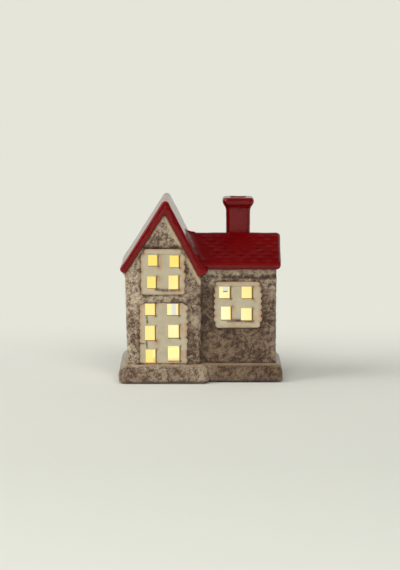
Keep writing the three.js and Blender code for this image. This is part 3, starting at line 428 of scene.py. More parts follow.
tower_room = ((tower_low[0] + WALL, tower_low[1] + WALL), (tower_high[0] - WALL, tower_high[1] - WALL))
wing_room = ((tower_low[0] + WALL, wing_low[1] + WALL), (wing_high[0] - WALL, wing_high[1] - WALL))
# The clay bulges a little on both sides of the tower's block.
plinth = plinth_block("plinth_glazed", plinth_low[0] - 0.7, tower_high[0] + LEDGE + 0.6,
                      tower_high[1] + LEDGE)
combine(plinth, "UNION", plinth_block("wing_base", tower_low[0], plinth_high[0], wing_high[1] + LEDGE))
for (x0, y0), (x1, y1) in (tower_room, wing_room):
    combine(plinth, "DIFFERENCE", block("room", (x0, y0, PLINTH_FLOOR), (x1, y1, plinth_high[2] + 2)))
combine(plinth, "DIFFERENCE", gasket_block("opening", SEAT_GAP - FLANGE, PLINTH_FLOOR + 1),
        gasket_block("recess", SEAT_GAP, gasket_high[2]))
cast(plinth, STONE_VOXEL, 3)
normals = normals_of(plinth)
x, y, z = points_of(plinth).T
underside = rise(-normals[:, 2], 0.5, 0.9)
# How far beyond a room's sides its own faces are looked for, because casting and relief move them.
REACH = 0.9
in_room = (np.abs(y) < tower_room[1][1] + REACH) & (x > tower_room[0][0] - REACH) \
    & (x < wing_room[1][0] + REACH) & (z > PLINTH_FLOOR - REACH)
stone_relief(plinth, 3, np.maximum(np.maximum(underside, 0.85 * in_room), 0.35))
x, y, z = points_of(plinth).T
# Painted light: the plinth's upward-facing ledge is coloured paler, for the light it catches from above.
lit_ledge = rise(normals[:, 2], 0.45, 0.9) * (z > 7)
store(plinth, pale=0.4 * lit_ledge, dusk=0.5 + 0.5 * rise(x, 3, 8),
      wash=0.45 * (1 - rise(z, 1.1, 2.4)) * (1 - underside))


def leave_bare(obj, rooms, floor):
    """Gives the faces that line rooms the second material, bare clay."""
    paint(obj, inside_boxes(obj, [((x0 - REACH, y0 - REACH, floor), (x1 + REACH, y1 + REACH, SKY))
                                  for (x0, y0), (x1, y1) in rooms]), 1)


leave_bare(plinth, [tower_room, wing_room], PLINTH_FLOOR - REACH)
finish(plinth, [stone, bisque], "house", "stone_glaze", "plinth")


# Tower walls. One casting with round corners, a little wider at the top, that flares out under the left eave.
# Ten panes are cut through its front while the clay is soft, and a doorway lets the light into the wing.
# The roofs' outlines are three points each: one eave, the ridge and the other eave.
TOWER_ROOF = ((-48.45, 69.7), (-21.5, 110.4), (1.9, 66.7))
WING_ROOF = ((-25, 72.4), (0, 89.3), (25, 72.4))
ROOF_THICKNESS = 3.9
# How far the walls reach into the slabs, and how deep under a roof's outline they end.
EMBED = 1.0
ROOF_SEAT = ROOF_THICKNESS - EMBED


def slopes_of(line):
    """Rise over run of a roof line's two slopes."""
    return [(line[1][1] - foot[1]) / (line[1][0] - foot[0]) for foot in (line[0], line[2])]


def height_under(line, depth, u):
    """Height of a roof line at u when its slopes are lowered square to themselves."""
    ridge, top = line[1]
    return min(top + slope * (u - ridge) - depth * math.hypot(1, slope) for slope in slopes_of(line))


def peak_under(line, depth):
    """Where the two slopes meet when both are lowered square to themselves."""
    left, right = slopes_of(line)
    shift = depth * (math.hypot(1, left) - math.hypot(1, right)) / (left - right)
    return line[1][0] + shift, line[1][1] + left * shift - depth * math.hypot(1, left)


def under_roof(line, depth, u0, u1, floor):
    """Section of everything between two sides, a floor and the underside of a roof."""
    return [(u0, floor), (u1, floor), (u1, height_under(line, depth, u1)), peak_under(line, depth),
            (u0, height_under(line, depth, u0))]


# Each pane is its left, right, lower and upper edge as they show on the wall's face.
UPPER_PANES = ((-32.0, -26.7, 71.8, 78.1), (-19.1, -13.8, 70.9, 77.8),
               (-32.7, -27.6, 58.2, 65.1), (-19.8, -14.1, 57.6, 65.7))
LOWER_PANES = ((-33.9, -28.2, 41.8, 48.7), (-20.7, -14.1, 41.8, 48.6), (-34.0, -28.3, 26.5, 35.2),
               (-20.1, -13.8, 28.0, 35.7), (-33.7, -28.0, 12.8, 20.7), (-20.2, -13.5, 14.0, 22.9))
WING_PANES = ((10.6, 17.0, 51.3, 58.3), (24.2, 30.3, 51.3, 58.3),
              (11.8, 17.6, 38.2, 46.1), (23.9, 30.3, 37.9, 45.2))


def pane_cutters(panes, face):
    """Holes that narrow inwards a little, so that their right and lower sides show from the front."""
    cutters = []
    inner = face + WALL
    for x0, x1, z0, z1 in panes:
        outer_pane = np.array(((x0, z0 - 0.43), (x1 + 0.75, z0 - 0.43),
                               (x1 + 0.75, z1 + 0.17), (x0, z1 + 0.17)))
        inner_pane = np.array(((x0 - 0.3, z0 - 0.47), (x1 - 0.08, z0 - 0.47),
                               (x1 - 0.08, z1 + 0.3), (x0 - 0.3, z1 + 0.3)))
        rings = []
        for y in (face - 3.5, inner + 1.5):
            pane = outer_pane + (inner_pane - outer_pane) * (y - face) / WALL
            rings.append([(x, y, z) for x, z in pane])
        cutters.append(ring_stack("pane", rings))
    return cutters


# The back's pairs of slots: their middle, their lower edge and the wall's face.
TOWER_SLOTS = (-21.1, 33.7, tower_high[1])
WING_SLOTS = (18.9, 49.6, wing_high[1])


def back_pane_cutters(middle, bottom, face):
    return [block("pane", (middle + side * 4 - 1.4, face - WALL - 1, bottom),
                  (middle + side * 4 + 1.4, face + 4, bottom + 8.6)) for side in (-1, 1)]


# Fired jamb of a pane, glowing with painted lamplight: dark brown at its mouth, which is brown wash and
# painted shade, and warm lamplight deeper in.
def jamb_material(name, face):
    material, tree, shader, place = start_material(name)
    depth = add_node(tree, "SeparateXYZ", {"Vector": place}).outputs["Y"]
    inward = add_node(tree, "MapRange", {"Value": depth, "From Min": (face - 0.5) * MM,
                      "From Max": (face + 3.4) * MM})
    # Painted shade at the mouth, partly brown wash, rising to painted lamplight deeper in, which glows.
    colour = add_node(tree, "ValToRGB", {"Fac": inward}, (
        (0, "2b1a0b"), (0.3, "4a3110"), (0.6, "8c6420"), (1, "e2b44a")))
    feed(shader, {"Base Color": colour, "Emission Color": colour, "Emission Strength": 0.5,
         "Roughness": 0.5})
    return material


# Plaque outlines as they were pressed: a narrower lintel, wavy sides and a sill.
def plaque_outline(x0, x1, z0, z1, lintel, sill, waves, seed, left):
    """Outline points from the lower left, anticlockwise. Lintel and sill are rails as (in-set, height), and
    left is how wavy the left side is, against the right."""
    outline = [(x0 + sill[0], z0 + 0.9), (x0 + sill[0] + 1.2, z0), (x1 - sill[0] - 1.2, z0),
               (x1 - sill[0], z0 + 0.9), (x1 - sill[0], z0 + sill[1])]
    foot, head = z0 + sill[1], z1 - lintel[1]
    sway = [0.55 * noise.noise(Vector((i * 0.9, seed, 0.5))) for i in range(8 * waves + 1)]
    swell = [0.95 + 0.9 * noise.noise(Vector((1.37 * i, seed, 3.5))) for i in range(waves + 1)]
    side = []
    for i in range(4 * waves + 1):
        bulge = 0.95 * swell[i // 4] * abs(math.sin(math.pi * i / 4)) - 0.6
        side.append((bulge + sway[i], foot + (head - foot) * i / (4 * waves)))
    outline += [(x1 + bulge, z) for bulge, z in side]
    outline += [(x1 - lintel[0], z1 - lintel[1]), (x1 - lintel[0], z1 - 0.8), (x1 - lintel[0] - 1.4, z1),
                (x0 + lintel[0] + 1.4, z1), (x0 + lintel[0], z1 - 0.8), (x0 + lintel[0], z1 - lintel[1])]
    outline += [(x0 - left * bulge + 0.3 * sway[i], z) for i, (bulge, z) in reversed(list(enumerate(side)))]
    outline.append((x0 + sill[0], z0 + sill[1]))
    return outline


UPPER_PLAQUE = plaque_outline(-36.4, -9.8, 54.2, 81.8, (1.9, 3.2), (0.3, 3.4), 4, 1, 0.55)
LOWER_PLAQUE = plaque_outline(-37.0, -8.6, 11.2, 49.1, (1.6, 1.2), (0.4, 1.2), 9, 2, 0.6)
WING_PLAQUE = plaque_outline(7.8, 36.2, 33.3, 61.4, (0.9, 3.0), (0.7, 3.6), 6, 3, 0.9)


def merge(name, objects):
    """One object of several that stay as separate shells."""
    shape = bmesh.new()
    for obj in objects:
        shape.from_mesh(obj.data)
        bpy.data.objects.remove(obj)
    mesh = bpy.data.meshes.new(name)
    shape.to_mesh(mesh)
    shape.free()
    merged = bpy.data.objects.new(name, mesh)
    bpy.context.scene.collection.objects.link(merged)
    return merged


def jamb_faces(obj, panes, y0, y1):
    """Faces that line the panes between two depths."""
    found = inside_boxes(obj, [((a - 0.8, y0, c - 0.9), (b + 1.2, y1, d + 0.8)) for a, b, c, d in panes])
    return found & (np.abs(vectors(obj.data.polygons, "normal")[:, 1]) < 0.6)


# Where the tower's left side stands at each height.
TOWER_LEVELS = ((11.0, -44.6), (13, -44.7), (36, -45.4), (60, -45.7), (62.5, -45.8), (64, -46.1), (66, -46.9),
                (68, -48.0), (69.3, -48.4), (70.8, -47.7))
TOWER_RIGHT = tower_high[0] - 0.1
WALL_CORNER = 3.4
GABLE_FOOT = 55
DOORWAY_TOP = 55.6
# How deep from a wall's face the relief still belongs to it.
FACE_DEPTH = 1.2
tower = ring_stack("tower_walls_glazed", [
    rounded_ring(left, TOWER_RIGHT, tower_low[1], tower_high[1], z, WALL_CORNER) for z, left in TOWER_LEVELS])
combine(tower, "UNION", prism("gable", "Y", under_roof(TOWER_ROOF, ROOF_SEAT, -45.6, TOWER_RIGHT, GABLE_FOOT),
                              tower_low[1], tower_high[1]))
# Everything above the roof's slabs comes off, from their square left end to beyond the tower's right side.
foot, ridge = Vector(TOWER_ROOF[0]), Vector(TOWER_ROOF[1])
along = (ridge - foot).normalized()
outer = foot + along * EMBED
inner = outer + Vector((along.y, -along.x)) * ROOF_SEAT
combine(tower, "DIFFERENCE",
        prism("above", "Y", [(outer.x - 6, outer.y + 4), tuple(outer), tuple(inner),
                             peak_under(TOWER_ROOF, ROOF_SEAT), (20, height_under(TOWER_ROOF, ROOF_SEAT, 20)),
                             (20, SKY), (outer.x - 6, SKY)], -40, 40),
        block("tower_room", (*tower_room[0], DEEP), (*tower_room[1], SKY)),
        block("doorway", (tower_room[1][0] - 1, wing_room[0][1], DEEP), (4, wing_room[1][1], DOORWAY_TOP)))
cast(tower, STONE_VOXEL, 4)
points = points_of(tower)
x, y, z = points.T
front = y < tower_low[1] + FACE_DEPTH
inner = (x > tower_room[0][0] - 0.8) & (x < tower_room[1][0] + 0.8) \
    & (np.abs(y) < tower_room[1][1] + 0.8)
unevenness = 0.75 + 0.7 * lumps(points, 2.6, 2, 21)
outline = front * unevenness * np.maximum(near_line(points, UPPER_PLAQUE + UPPER_PLAQUE[:1], 1.3),
                                          near_line(points, LOWER_PLAQUE + LOWER_PLAQUE[:1], 1.5))
# Painted shadow: the dark line along the top of the upper plaque and round its upper right corner is the
# lintel's shadow line, painted into the wash; it is also pressed in as a shallow groove.
over_plaque = near_line(points, [(-34.4, 82.5), (-30.8, 82.2), (-21.8, 82.0), (-15.2, 82.5), (-11.6, 82.3)],
                        1.6)
beside_plaque = near_line(points, [(-12.2, 82.2), (-9.8, 80.9), (-9.4, 78.8), (-10.6, 77.9)], 0.4)
groove_and_shadow_line = front * np.maximum(over_plaque * np.clip(unevenness * 1.5, 0, 1), beside_plaque)
foot_line = front * near_line(points, [(-46, 12.4), (0, 12.4)], 1.0) * unevenness
# Where the wash was wiped off along the bargeboards: how far below each, the band's lower end and half width.
right_band, left_band = [
    front * near_line(points, [peak_under(TOWER_ROOF, ROOF_THICKNESS + below),
                               (end, height_under(TOWER_ROOF, ROOF_THICKNESS + below, end))], width)
    for below, end, width in ((1.1, -0.6, 1.05), (0.8, -44.6, 0.7))]
streaks = 0.5 * front * rise(z, 83, 86) * rise(lumps(points * (0.3, 1, 1.5), 2.4, 2, 23), 0.1, 0.5)
stone_relief(tower, 5, np.maximum(0.9 * inner, 0.75 * right_band), np.maximum(groove_and_shadow_line, 0.6 * outline))
store(tower, wash=np.maximum.reduce([0.64 * outline, groove_and_shadow_line, 0.5 * foot_line, streaks * (1 - right_band)]),
      pale=np.maximum(0.95 * right_band, 0.45 * left_band),
      dusk=np.maximum(0.5 * rise(x, -16, -5), 0.3 * rise(z, 81, 84)))


def open_walls(walls, panes, slots, room, face, node):
    """Cuts a casting's panes and slots, gives its room and jambs their materials and finishes it."""
    combine(walls, "DIFFERENCE", merge("panes", pane_cutters(panes, face) + back_pane_cutters(*slots)))
    leave_bare(walls, [room], DEEP)
    paint(walls, jamb_faces(walls, panes, face - 2, face + WALL - 0.2), 2)
    jamb = jamb_material(node.replace("walls", "pane_jamb"), face)
    finish(walls, [stone, bisque, jamb], "house", "stone_glaze", node)
    return jamb


tower_jamb = open_walls(tower, UPPER_PANES + LOWER_PANES, TOWER_SLOTS, tower_room, tower_low[1],
                        "tower_walls")


# Wing walls. The lower casting beside the tower: a front, a back and a gable end, luted to the tower's side.
# Its glaze is coloured darker, the more so lower down, with a wiped band under the eave, a rough dark line
# below that, and painted shade in the corner by the tower.
wing = ring_stack("wing_walls_glazed", [
    rounded_ring(-3.4, wing_high[0] + out, wing_low[1], wing_high[1], z, WALL_CORNER)
    for z, out in ((11.0, 0.2), (14, 0), (40, -0.1), (66, -0.1), (72.5, 0.3))])
combine(wing, "UNION", prism("gable", "X", under_roof(
    WING_ROOF, ROOF_SEAT, wing_low[1], wing_high[1], GABLE_FOOT), -3.0, wing_high[0]))
# Its room starts inside the tower's, and its walls end a little inside the tower's side.
ROOM_LINK = (-9, wing_room[0][1])
seam = tower_high[0] - 1.2
combine(wing, "DIFFERENCE",
        prism("above", "X", [(-40, height_under(WING_ROOF, ROOF_SEAT, -40)),
                             peak_under(WING_ROOF, ROOF_SEAT),
                             (40, height_under(WING_ROOF, ROOF_SEAT, 40)), (40, SKY), (-40, SKY)], -20, 60),
        prism("tower_side", "Y", [(-30, DEEP), (seam, DEEP), (seam, height_under(TOWER_ROOF, EMBED, seam)),
                                  (-20, 110), (-30, 110)], -40, 40),
        block("wing_room", (*ROOM_LINK, DEEP), (*wing_room[1], SKY)))
cast(wing, STONE_VOXEL, 4)
points = points_of(wing)
x, y, z = points.T
front = y < wing_low[1] + FACE_DEPTH
inner = (x < wing_room[1][0] + 0.8) & (np.abs(y) < wing_room[1][1] + 0.8)
unevenness = 0.75 + 0.7 * lumps(points, 2.6, 2, 22)
outline = front * unevenness * near_line(points, WING_PLAQUE + WING_PLAQUE[:1], 1.3)
rough_line = near_line(points, [(-2, 64.6), (7, 64.5), (14.2, 64.0), (26.3, 63.8), (36.5, 63.5), (46, 64.4)],
                       1.4)
rough_line *= (np.abs(y) > wing_high[1] - FACE_DEPTH) * np.clip(unevenness * 1.5 - 0.2, 0, 1)
wiped = rise(z, 65.6, 66.6) * (1 - 0.8 * rise(unevenness, 0.8, 1.2))
foot_line = (1 - rise(z, 12.4, 13.6)) * unevenness * (1 - inner)
# Painted shade: the wing's front is darkened in the inner corner beside the tower, where the tower's shadow
# falls on it.
corner = near_line(points, [(0, 12), (0, 66)], 2.6) * front
stone_relief(wing, 8, np.maximum(0.9 * inner, 0.4 * wiped), 0.6 * np.maximum(outline, rough_line))
store(wing, wash=np.maximum.reduce([0.64 * outline, rough_line, 0.45 * foot_line, 0.4 * corner, 0.2 * wiped]),
      pale=0.2 * wiped,
      dusk=(1 - 0.75 * rise(z, 55, 64)) * (1 - 0.45 * rise(x, 36, 46)))
wing_jamb = open_walls(wing, WING_PANES, WING_SLOTS, (ROOM_LINK, wing_room[1]), wing_low[1], "wing_walls")


# Window plaques. Relief plates pressed on while soft, with wavy sides and a rail for lintel and sill, in
# cream glaze that thins to brown at the edges. The panes are cut through plaque and wall together.
cream, tree, shader, place = start_material("cream_glaze")
wash = add_node(tree, "Attribute", attribute_name="wash").outputs["Fac"]
rim = add_node(tree, "Attribute", attribute_name="pale").outputs["Fac"]
cloud = add_node(tree, "TexNoise", {"Vector": place, "Scale": 1 / (5 * MM), "Detail": 3, "Roughness": 0.6})
body = add_node(tree, "Mix", {"Factor": cloud, "A": "a1967b", "B": "c3b99f"}, data_type="RGBA")
blush = add_node(tree, "Mix", {"Factor": rim, "A": body, "B": "ad8766"}, data_type="RGBA")
lined = add_node(tree, "Mix", {"Factor": wash, "A": blush, "B": "40291d"}, data_type="RGBA")
feed(shader, {"Base Color": lined, "Roughness": 0.3})


# How far plaques and their rails stand out of the walls' faces, and how deep they are bedded in them.
PLAQUE_PROUD = 1.1
RAIL_PROUD = 1.6
BEDDED = 0.8
PLAQUE_VOXEL = 0.36


def window(name, outline, rails, panes, face, jamb, rail_strokes, seed):
    """A plaque of an outline in X and Z on a wall's face, with rails as (x0, x1, z0, z1)."""
    plate = prism(name, "Y", outline, face - PLAQUE_PROUD, face + BEDDED)
    for x0, x1, z0, z1 in rails:
        combine(plate, "UNION", prism("rail", "Y", [
            (x0 + 1.2, z0), (x1 - 1.2, z0), (x1, z0 + 0.9), (x1, z1 - 0.9), (x1 - 1.2, z1),
            (x0 + 1.2, z1), (x0, z1 - 0.9), (x0, z0 + 0.9)], face - RAIL_PROUD, face + 0.7))
    round_off(plate, 0.35)
    cast(plate, PLAQUE_VOXEL, 7)
    points, normals = points_of(plate), normals_of(plate)
    edge = near_line(points, outline + outline[:1], 1.5)
    lines = np.maximum.reduce([near_line(points, line, width) for line, width in rail_strokes] + [0 * edge])
    lines *= np.clip(0.85 + 0.6 * lumps(points, 1.6, 2, seed + 3), 0, 1)
    burrs = np.maximum.reduce([strength * near_line(points, [(x1 + 0.9, z), (x1 + 1.0, z + 0.2)], 0.7)
                               for x0, x1, z0, z1 in panes for z, strength in ((z0 - 0.5, 1.0), (z1, 0.6))])
    swell_out(plate, 0.16 * lumps(points, 7, 2, seed) + 0.05 * lumps(points, 2, 2, seed + 1)
              - 0.3 * lines * (normals[:, 1] < -0.5))
    patchy = rise(lumps(points, 6, 2, seed + 2), -0.3, 0.4)
    stains = np.maximum.reduce([near_line(points, [(x1 + 1.8, z0 - 1.5), (x1 + 1.6, z1)], 1.8)
                                for x0, x1, z0, z1 in panes])
    behind = 0.75 * rise(points[:, 1], face - 0.75, face - 0.25) * (normals[:, 1] > -0.8)
    store(plate, pale=np.maximum(edge * (0.35 + 0.6 * patchy), 0.75 * stains * patchy),
          wash=np.maximum.reduce([lines, burrs, behind]))
    combine(plate, "DIFFERENCE", merge("panes", pane_cutters(panes, face)))
    paint(plate, jamb_faces(plate, panes, face - 3, face + 3), 1)
    finish(plate, [cream, jamb], "house", "cream_glaze", name.replace("_glazed", ""))


window("tower_upper_window_glazed", UPPER_PLAQUE, [(-34.5, -11.7, 78.9, 81.8), (-36.2, -10.0, 54.3, 57.3)],
       UPPER_PANES, tower_low[1], tower_jamb,
       [([(-27.4, 57.7), (-24.9, 57.0), (-20.1, 56.9), (-13.2, 57.4)], 1.0)], 31)
window("tower_lower_window_glazed", LOWER_PLAQUE, [], LOWER_PANES, tower_low[1], tower_jamb,
       [([(-32.9, 40.9), (-32.5, 37.0)], 0.5), ([(-33.1, 26.0), (-32.7, 22.0)], 0.5),
        ([(-37, 24.6), (-34.5, 24.4)], 0.4), ([(-37, 12.2), (-8, 12.2)], 0.6)], 34)
window("wing_window_glazed", WING_PLAQUE, [(8.6, 35.4, 58.9, 61.4), (8.6, 35.5, 33.3, 36.8)],
       WING_PANES, wing_low[1], wing_jamb,
       [([(16.5, 37.7), (19.1, 37.9), (23.9, 37.7), (30.4, 37.4)], 1.0)], 37)


def back_window(name, face, cutters, seed):
    """A plain plaque around the slots in a back wall, which the photograph doesn't show."""
    low, high = node_box(name)
    plate = block(name + "_glazed", (low[0], face - BEDDED, low[2]), (high[0], high[1] - 0.6, high[2]))
    rails = ((low[2], low[2] + 2.4), (high[2] - 2.4, high[2]))
    for z0, z1 in rails:
        combine(plate, "UNION", block("rail", (low[0] + 0.6, face - 0.7, z0), (high[0] - 0.6, high[1], z1)))
    round_off(plate, 0.35)
    cast(plate, PLAQUE_VOXEL, 5)
    points, normals = points_of(plate), normals_of(plate)
    swell_out(plate, 0.12 * lumps(points, 6, 2, seed))
    side = np.minimum(points[:, 0] - low[0], high[0] - points[:, 0])
    store(plate, pale=0.7 * (1 - rise(side, 0.4, 1.8)),
          wash=0.75 * (1 - rise(points[:, 1], face + 0.25, face + 0.75)) * (normals[:, 1] < 0.8))
    combine(plate, "DIFFERENCE", merge("panes", cutters))
    finish(plate, [cream], "house", "cream_glaze", name)


back_window("tower_back_window", tower_high[1], back_pane_cutters(*TOWER_SLOTS), 41)
back_window("wing_back_window", wing_high[1], back_pane_cutters(*WING_SLOTS), 43)


# Tower roof. Two steep slabs with thick rounded bargeboards and lapped shingles, modelled in the clay and
# flooded with oxblood glaze, which stays thin and lighter on every edge and runs dark into the laps.
def shingle_tree():
    """Geometry nodes: courses of lapped shingles. Each one is thickest at the middle of its lower edge."""
    tree = bpy.data.node_groups.new("shingles", "GeometryNodeTree")
    tree.interface.new_socket("Shingles", in_out="OUTPUT", socket_type="NodeSocketGeometry")
    for name, kind in (("Tiles", "Int"), ("Courses", "Int"), ("Tile Width", "Float"),
                       ("Course Pitch", "Float"), ("Lap Thickness", "Float"), ("Seed", "Int"),
                       ("Glaze", "Material")):
        tree.interface.new_socket(name, in_out="INPUT", socket_type="NodeSocket" + kind)
    given = add_node(tree, "NodeGroupInput").outputs
    index = add_node(tree, "GeometryNodeInputIndex")
    jitter = add_node(tree, "FunctionNodeRandomValue", {
        "ID": index, "Seed": given["Seed"], "Min": -0.12, "Max": 0.12}, data_type="FLOAT")
    spot = add_node(tree, "SeparateXYZ", [add_node(tree, "GeometryNodeInputPosition")]).outputs
    made = {**dict(given.items()), "index": index, "jitter": jitter, "x": spot["X"], "z": spot["Z"]}
    # Each value's name, how it is worked out and what from.
    for name, operation, *values in (
            ("steps across", "SUBTRACT", "Tiles", 1), ("length", "MULTIPLY", "steps across", "Tile Width"),
            ("steps up", "SUBTRACT", "Courses", 1), ("run", "MULTIPLY", "steps up", "Course Pitch"),
            ("course", "MODULO", "index", "Courses"), ("odd", "MODULO", "course", 2),
            ("share", "MULTIPLY_ADD", "odd", 0.5, "jitter"), ("shift", "MULTIPLY", "share", "Tile Width"),
            ("width", "MULTIPLY", "Tile Width", 0.9), ("half width", "MULTIPLY", "width", 0.5),
            ("lap", "MULTIPLY", "Course Pitch", 1.1), ("half lap", "MULTIPLY", "lap", 0.5),
            ("lower end", "MULTIPLY", "lap", -0.5), ("aside", "ABSOLUTE", "x"),
            ("on top", "GREATER_THAN", "z", 0)):
        made[name] = add_node(tree, "Math", [made.get(value, value) for value in values], operation=operation)
    grid = add_node(tree, "GeometryNodeMeshGrid", {"Size X": made["length"], "Size Y": made["run"],
                    "Vertices X": given["Tiles"], "Vertices Y": given["Courses"]})
    offset = add_node(tree, "CombineXYZ", {"X": made["shift"]})
    staggered = add_node(tree, "GeometryNodeSetPosition", {"Geometry": grid, "Offset": offset})
    size = add_node(tree, "CombineXYZ", {"X": made["width"], "Y": made["lap"], "Z": MM})
    slab = add_node(tree, "GeometryNodeMeshCube", {
        "Size": size, "Vertices X": 13, "Vertices Y": 5, "Vertices Z": 2})
    crown = add_node(tree, "MapRange", {"Value": made["aside"], "From Min": 0, "From Max": made["half width"],
                     "To Min": 1, "To Max": 0.5}, interpolation_type="SMOOTHSTEP")
    fall = add_node(tree, "MapRange", {"Value": spot["Y"], "From Min": made["half lap"],
                    "From Max": made["lower end"]})
    lift = crown
    for factor in (fall, made["on top"], given["Lap Thickness"]):
        lift = add_node(tree, "Math", [lift, factor], operation="MULTIPLY")
    lifted = add_node(tree, "CombineXYZ", {"Z": lift})
    shingle = add_node(tree, "GeometryNodeSetPosition", {"Geometry": slab, "Offset": lifted})
    laid = add_node(tree, "GeometryNodeInstanceOnPoints", {"Points": staggered, "Instance": shingle})
    real = add_node(tree, "GeometryNodeRealizeInstances", {"Geometry": laid})
    add_node(tree, "NodeGroupOutput", [
        add_node(tree, "GeometryNodeSetMaterial", {"Geometry": real, "Material": given["Glaze"]})])
    return tree


# Oxblood glaze: glossy and thick. It breaks to a thin warm red on edges and pools nearly black in hollows.
# Fields: relief 0 hollow to 1 edge.
oxblood, tree, shader, place = start_material("oxblood_glaze")
relief = add_node(tree, "Attribute", attribute_name="relief").outputs["Fac"]
cloud = add_node(tree, "TexNoise", {"Vector": place, "Scale": 1 / (12 * MM), "Detail": 2, "Roughness": 0.5})
depth = add_node(tree, "Math", [cloud, 0.25, relief], operation="MULTIPLY_ADD")
tone = add_node(tree, "ValToRGB", {"Fac": depth}, (
    (0.2, "2c0102"), (0.5, "600407"), (0.75, "71080a"), (1, "821311")))
ripple = add_node(tree, "TexNoise", {"Vector": place, "Scale": 1 / (4 * MM), "Detail": 1, "Roughness": 0.4})
bump = add_node(tree, "Bump", {"Height": ripple, "Strength": 0.35, "Distance": 0.2 * MM})
feed(shader, {"Base Color": tone, "Normal": bump, "Roughness": 0.16, "Specular IOR Level": 0.3})

TILE_WIDTH = 8.7
COURSE_HEIGHT = 3.4
BARE_EDGE = 1.9
shingles = shingle_tree()


def shingle_slope(line, side, axis, start, end, thickness, seed, bare=0):
    """Shingles of a roof's left or front slope (side -1) or its other one, between two stations on its axis.
    Bare is how much of the slope stays plain at its foot."""
    foot, ridge = Vector(line[0] if side < 0 else line[2]), Vector(line[1])
    rising = (ridge - foot).normalized()
    foot += rising * bare
    run = (ridge - foot).length - 2 * BARE_EDGE
    length = end - start
    # The slope's corner and its directions up and along, turned so that the normal points outwards.
    if axis == "Y":
        corner = (foot.x, end if side < 0 else start, foot.y)
        up, along = (rising.x, 0, rising.y), (0, side, 0)
    else:
        corner = (start if side < 0 else end, foot.x, foot.y)
        up, along = (0, rising.x, rising.y), (-side, 0, 0)
    courses, tiles = round(run / COURSE_HEIGHT), math.ceil(length / TILE_WIDTH) + 1
    slope = new_object("shingles", [(0, 0, 0)], [])
    modifier = slope.modifiers.new("shingles", "NODES")
    modifier.node_group = shingles
    values = {"Tiles": tiles, "Courses": courses, "Seed": seed, "Glaze": oxblood,
              "Tile Width": TILE_WIDTH * MM, "Course Pitch": run / courses * MM,
              "Lap Thickness": thickness * MM}
    for item in shingles.interface.items_tree:
        if item.in_out == "INPUT":
            modifier[item.identifier] = values[item.name]
    settle(slope)
    flat = points_of(slope)
    u = np.clip(flat[:, 0] + length / 2, 1.4, length - 1.4)
    v = flat[:, 1] + run / 2 + BARE_EDGE
    move_points(slope, np.array(corner) + np.outer(u, along) + np.outer(v, up)
                + np.outer(flat[:, 2] - 0.45, np.cross(along, up)))
    return slope


def roof_slabs(name, line, axis, start, end, edge, drop, grow=0, reach=(0, 0), kick=0, crown=None):
    """A roof's two slabs as one solid, cut square at their lower ends, with a drip edge that hangs lower.
    Grow thickens it outwards and reach lengthens each eave, for what rounding takes off. Kick is how far the
    right eave turns outwards at its tip. Crown blunts the ridge: its height and half width."""
    crest = [peak_under(line, -grow)]
    if crown:
        crest = [(line[1][0] + side * crown[1], crown[0]) for side in (1, -1)]
    eaves = []
    for foot, side, longer, out in ((Vector(line[0]), 1, reach[0], 0), (Vector(line[2]), -1, reach[1], kick)):
        along = (Vector(line[1]) - foot).normalized()
        square = side * Vector((along.y, -along.x))
        tip = foot - along * longer
        eaves.append((foot + along * 9 - square * grow, tip - square * (grow + out),
                      tip + square * ROOF_THICKNESS - Vector((0, drop))))
    slabs = prism(name, axis, [tuple(corner) for corner in (
        *eaves[0], peak_under(line, ROOF_THICKNESS), *reversed(eaves[1]), *crest)], start, end)
    round_off(slabs, edge)
    return slabs


def bulges(obj, passes):
    """How far each vertex stands out from its smoothed surroundings, in millimetres."""
    count = len(obj.data.vertices)
    pairs = np.empty(len(obj.data.edges) * 2, np.int32)
    obj.data.edges.foreach_get("vertices", pairs)
    a, b = pairs.reshape(-1, 2).T
    points = points_of(obj)
    smooth = points.copy()
    neighbours = (np.bincount(a, minlength=count) + np.bincount(b, minlength=count))[:, None]
    for _ in range(passes):
        total = np.stack([np.bincount(a, smooth[b, i], count) + np.bincount(b, smooth[a, i], count)
                          for i in range(3)], axis=1)
        smooth = 0.5 * smooth + 0.5 * total / neighbours
    return np.einsum("ij,ij->i", points - smooth, normals_of(obj))


def glaze_roof(roof, seed, node, room=None, pool=0.5, shallow=0.014):
    """Hand-made unevenness, and glaze depth from how far each place stands out. The clay is bare over a room,
    given by its lower and upper corner in X and Y. Pool is how dark the glaze runs together in hollows, and
    shallow is how far in they start."""
    points = points_of(roof)
    swell_out(roof, 0.22 * lumps(points, 11, 2, seed) + 0.05 * lumps(points, 3, 2, seed + 1))
    stand = bulges(roof, 14)
    store(roof, relief=0.45 + 0.5 * rise(stand, 0.04, 0.3) - pool * rise(-stand, shallow, 5.7 * shallow))
    if room:
        facing_down = vectors(roof.data.polygons, "normal")[:, 2] < -0.1
        paint(roof, inside_boxes(roof, [((*room[0], 0), (*room[1], SKY))]) & facing_down, 1)
    finish(roof, [oxblood, bisque] if room else [oxblood], "house", "red_glaze", node)


tower_roof_low, tower_roof_high = node_box("tower_roof")
tower_roof = roof_slabs("tower_roof_glazed", TOWER_ROOF, "Y", tower_roof_low[1], tower_roof_high[1], 1.6, 0.4,
                        0.65, (1.0, 0.1), 2.3, (110.8, 1.45))
# The right slope is plain up to just over the wing's ridge.
slopes = [shingle_slope(TOWER_ROOF, side, "Y", tower_roof_low[1] + 3, tower_roof_high[1] - 3, 0.72, 7 + side,
                        bare) for side, bare in ((-1, 0), (1, 27.5))]
tower_roof = merge("tower_roof_glazed", [tower_roof, *slopes])
cast(tower_roof, 0.45, 11)
glaze_roof(tower_roof, 51, "tower_roof", tower_room)


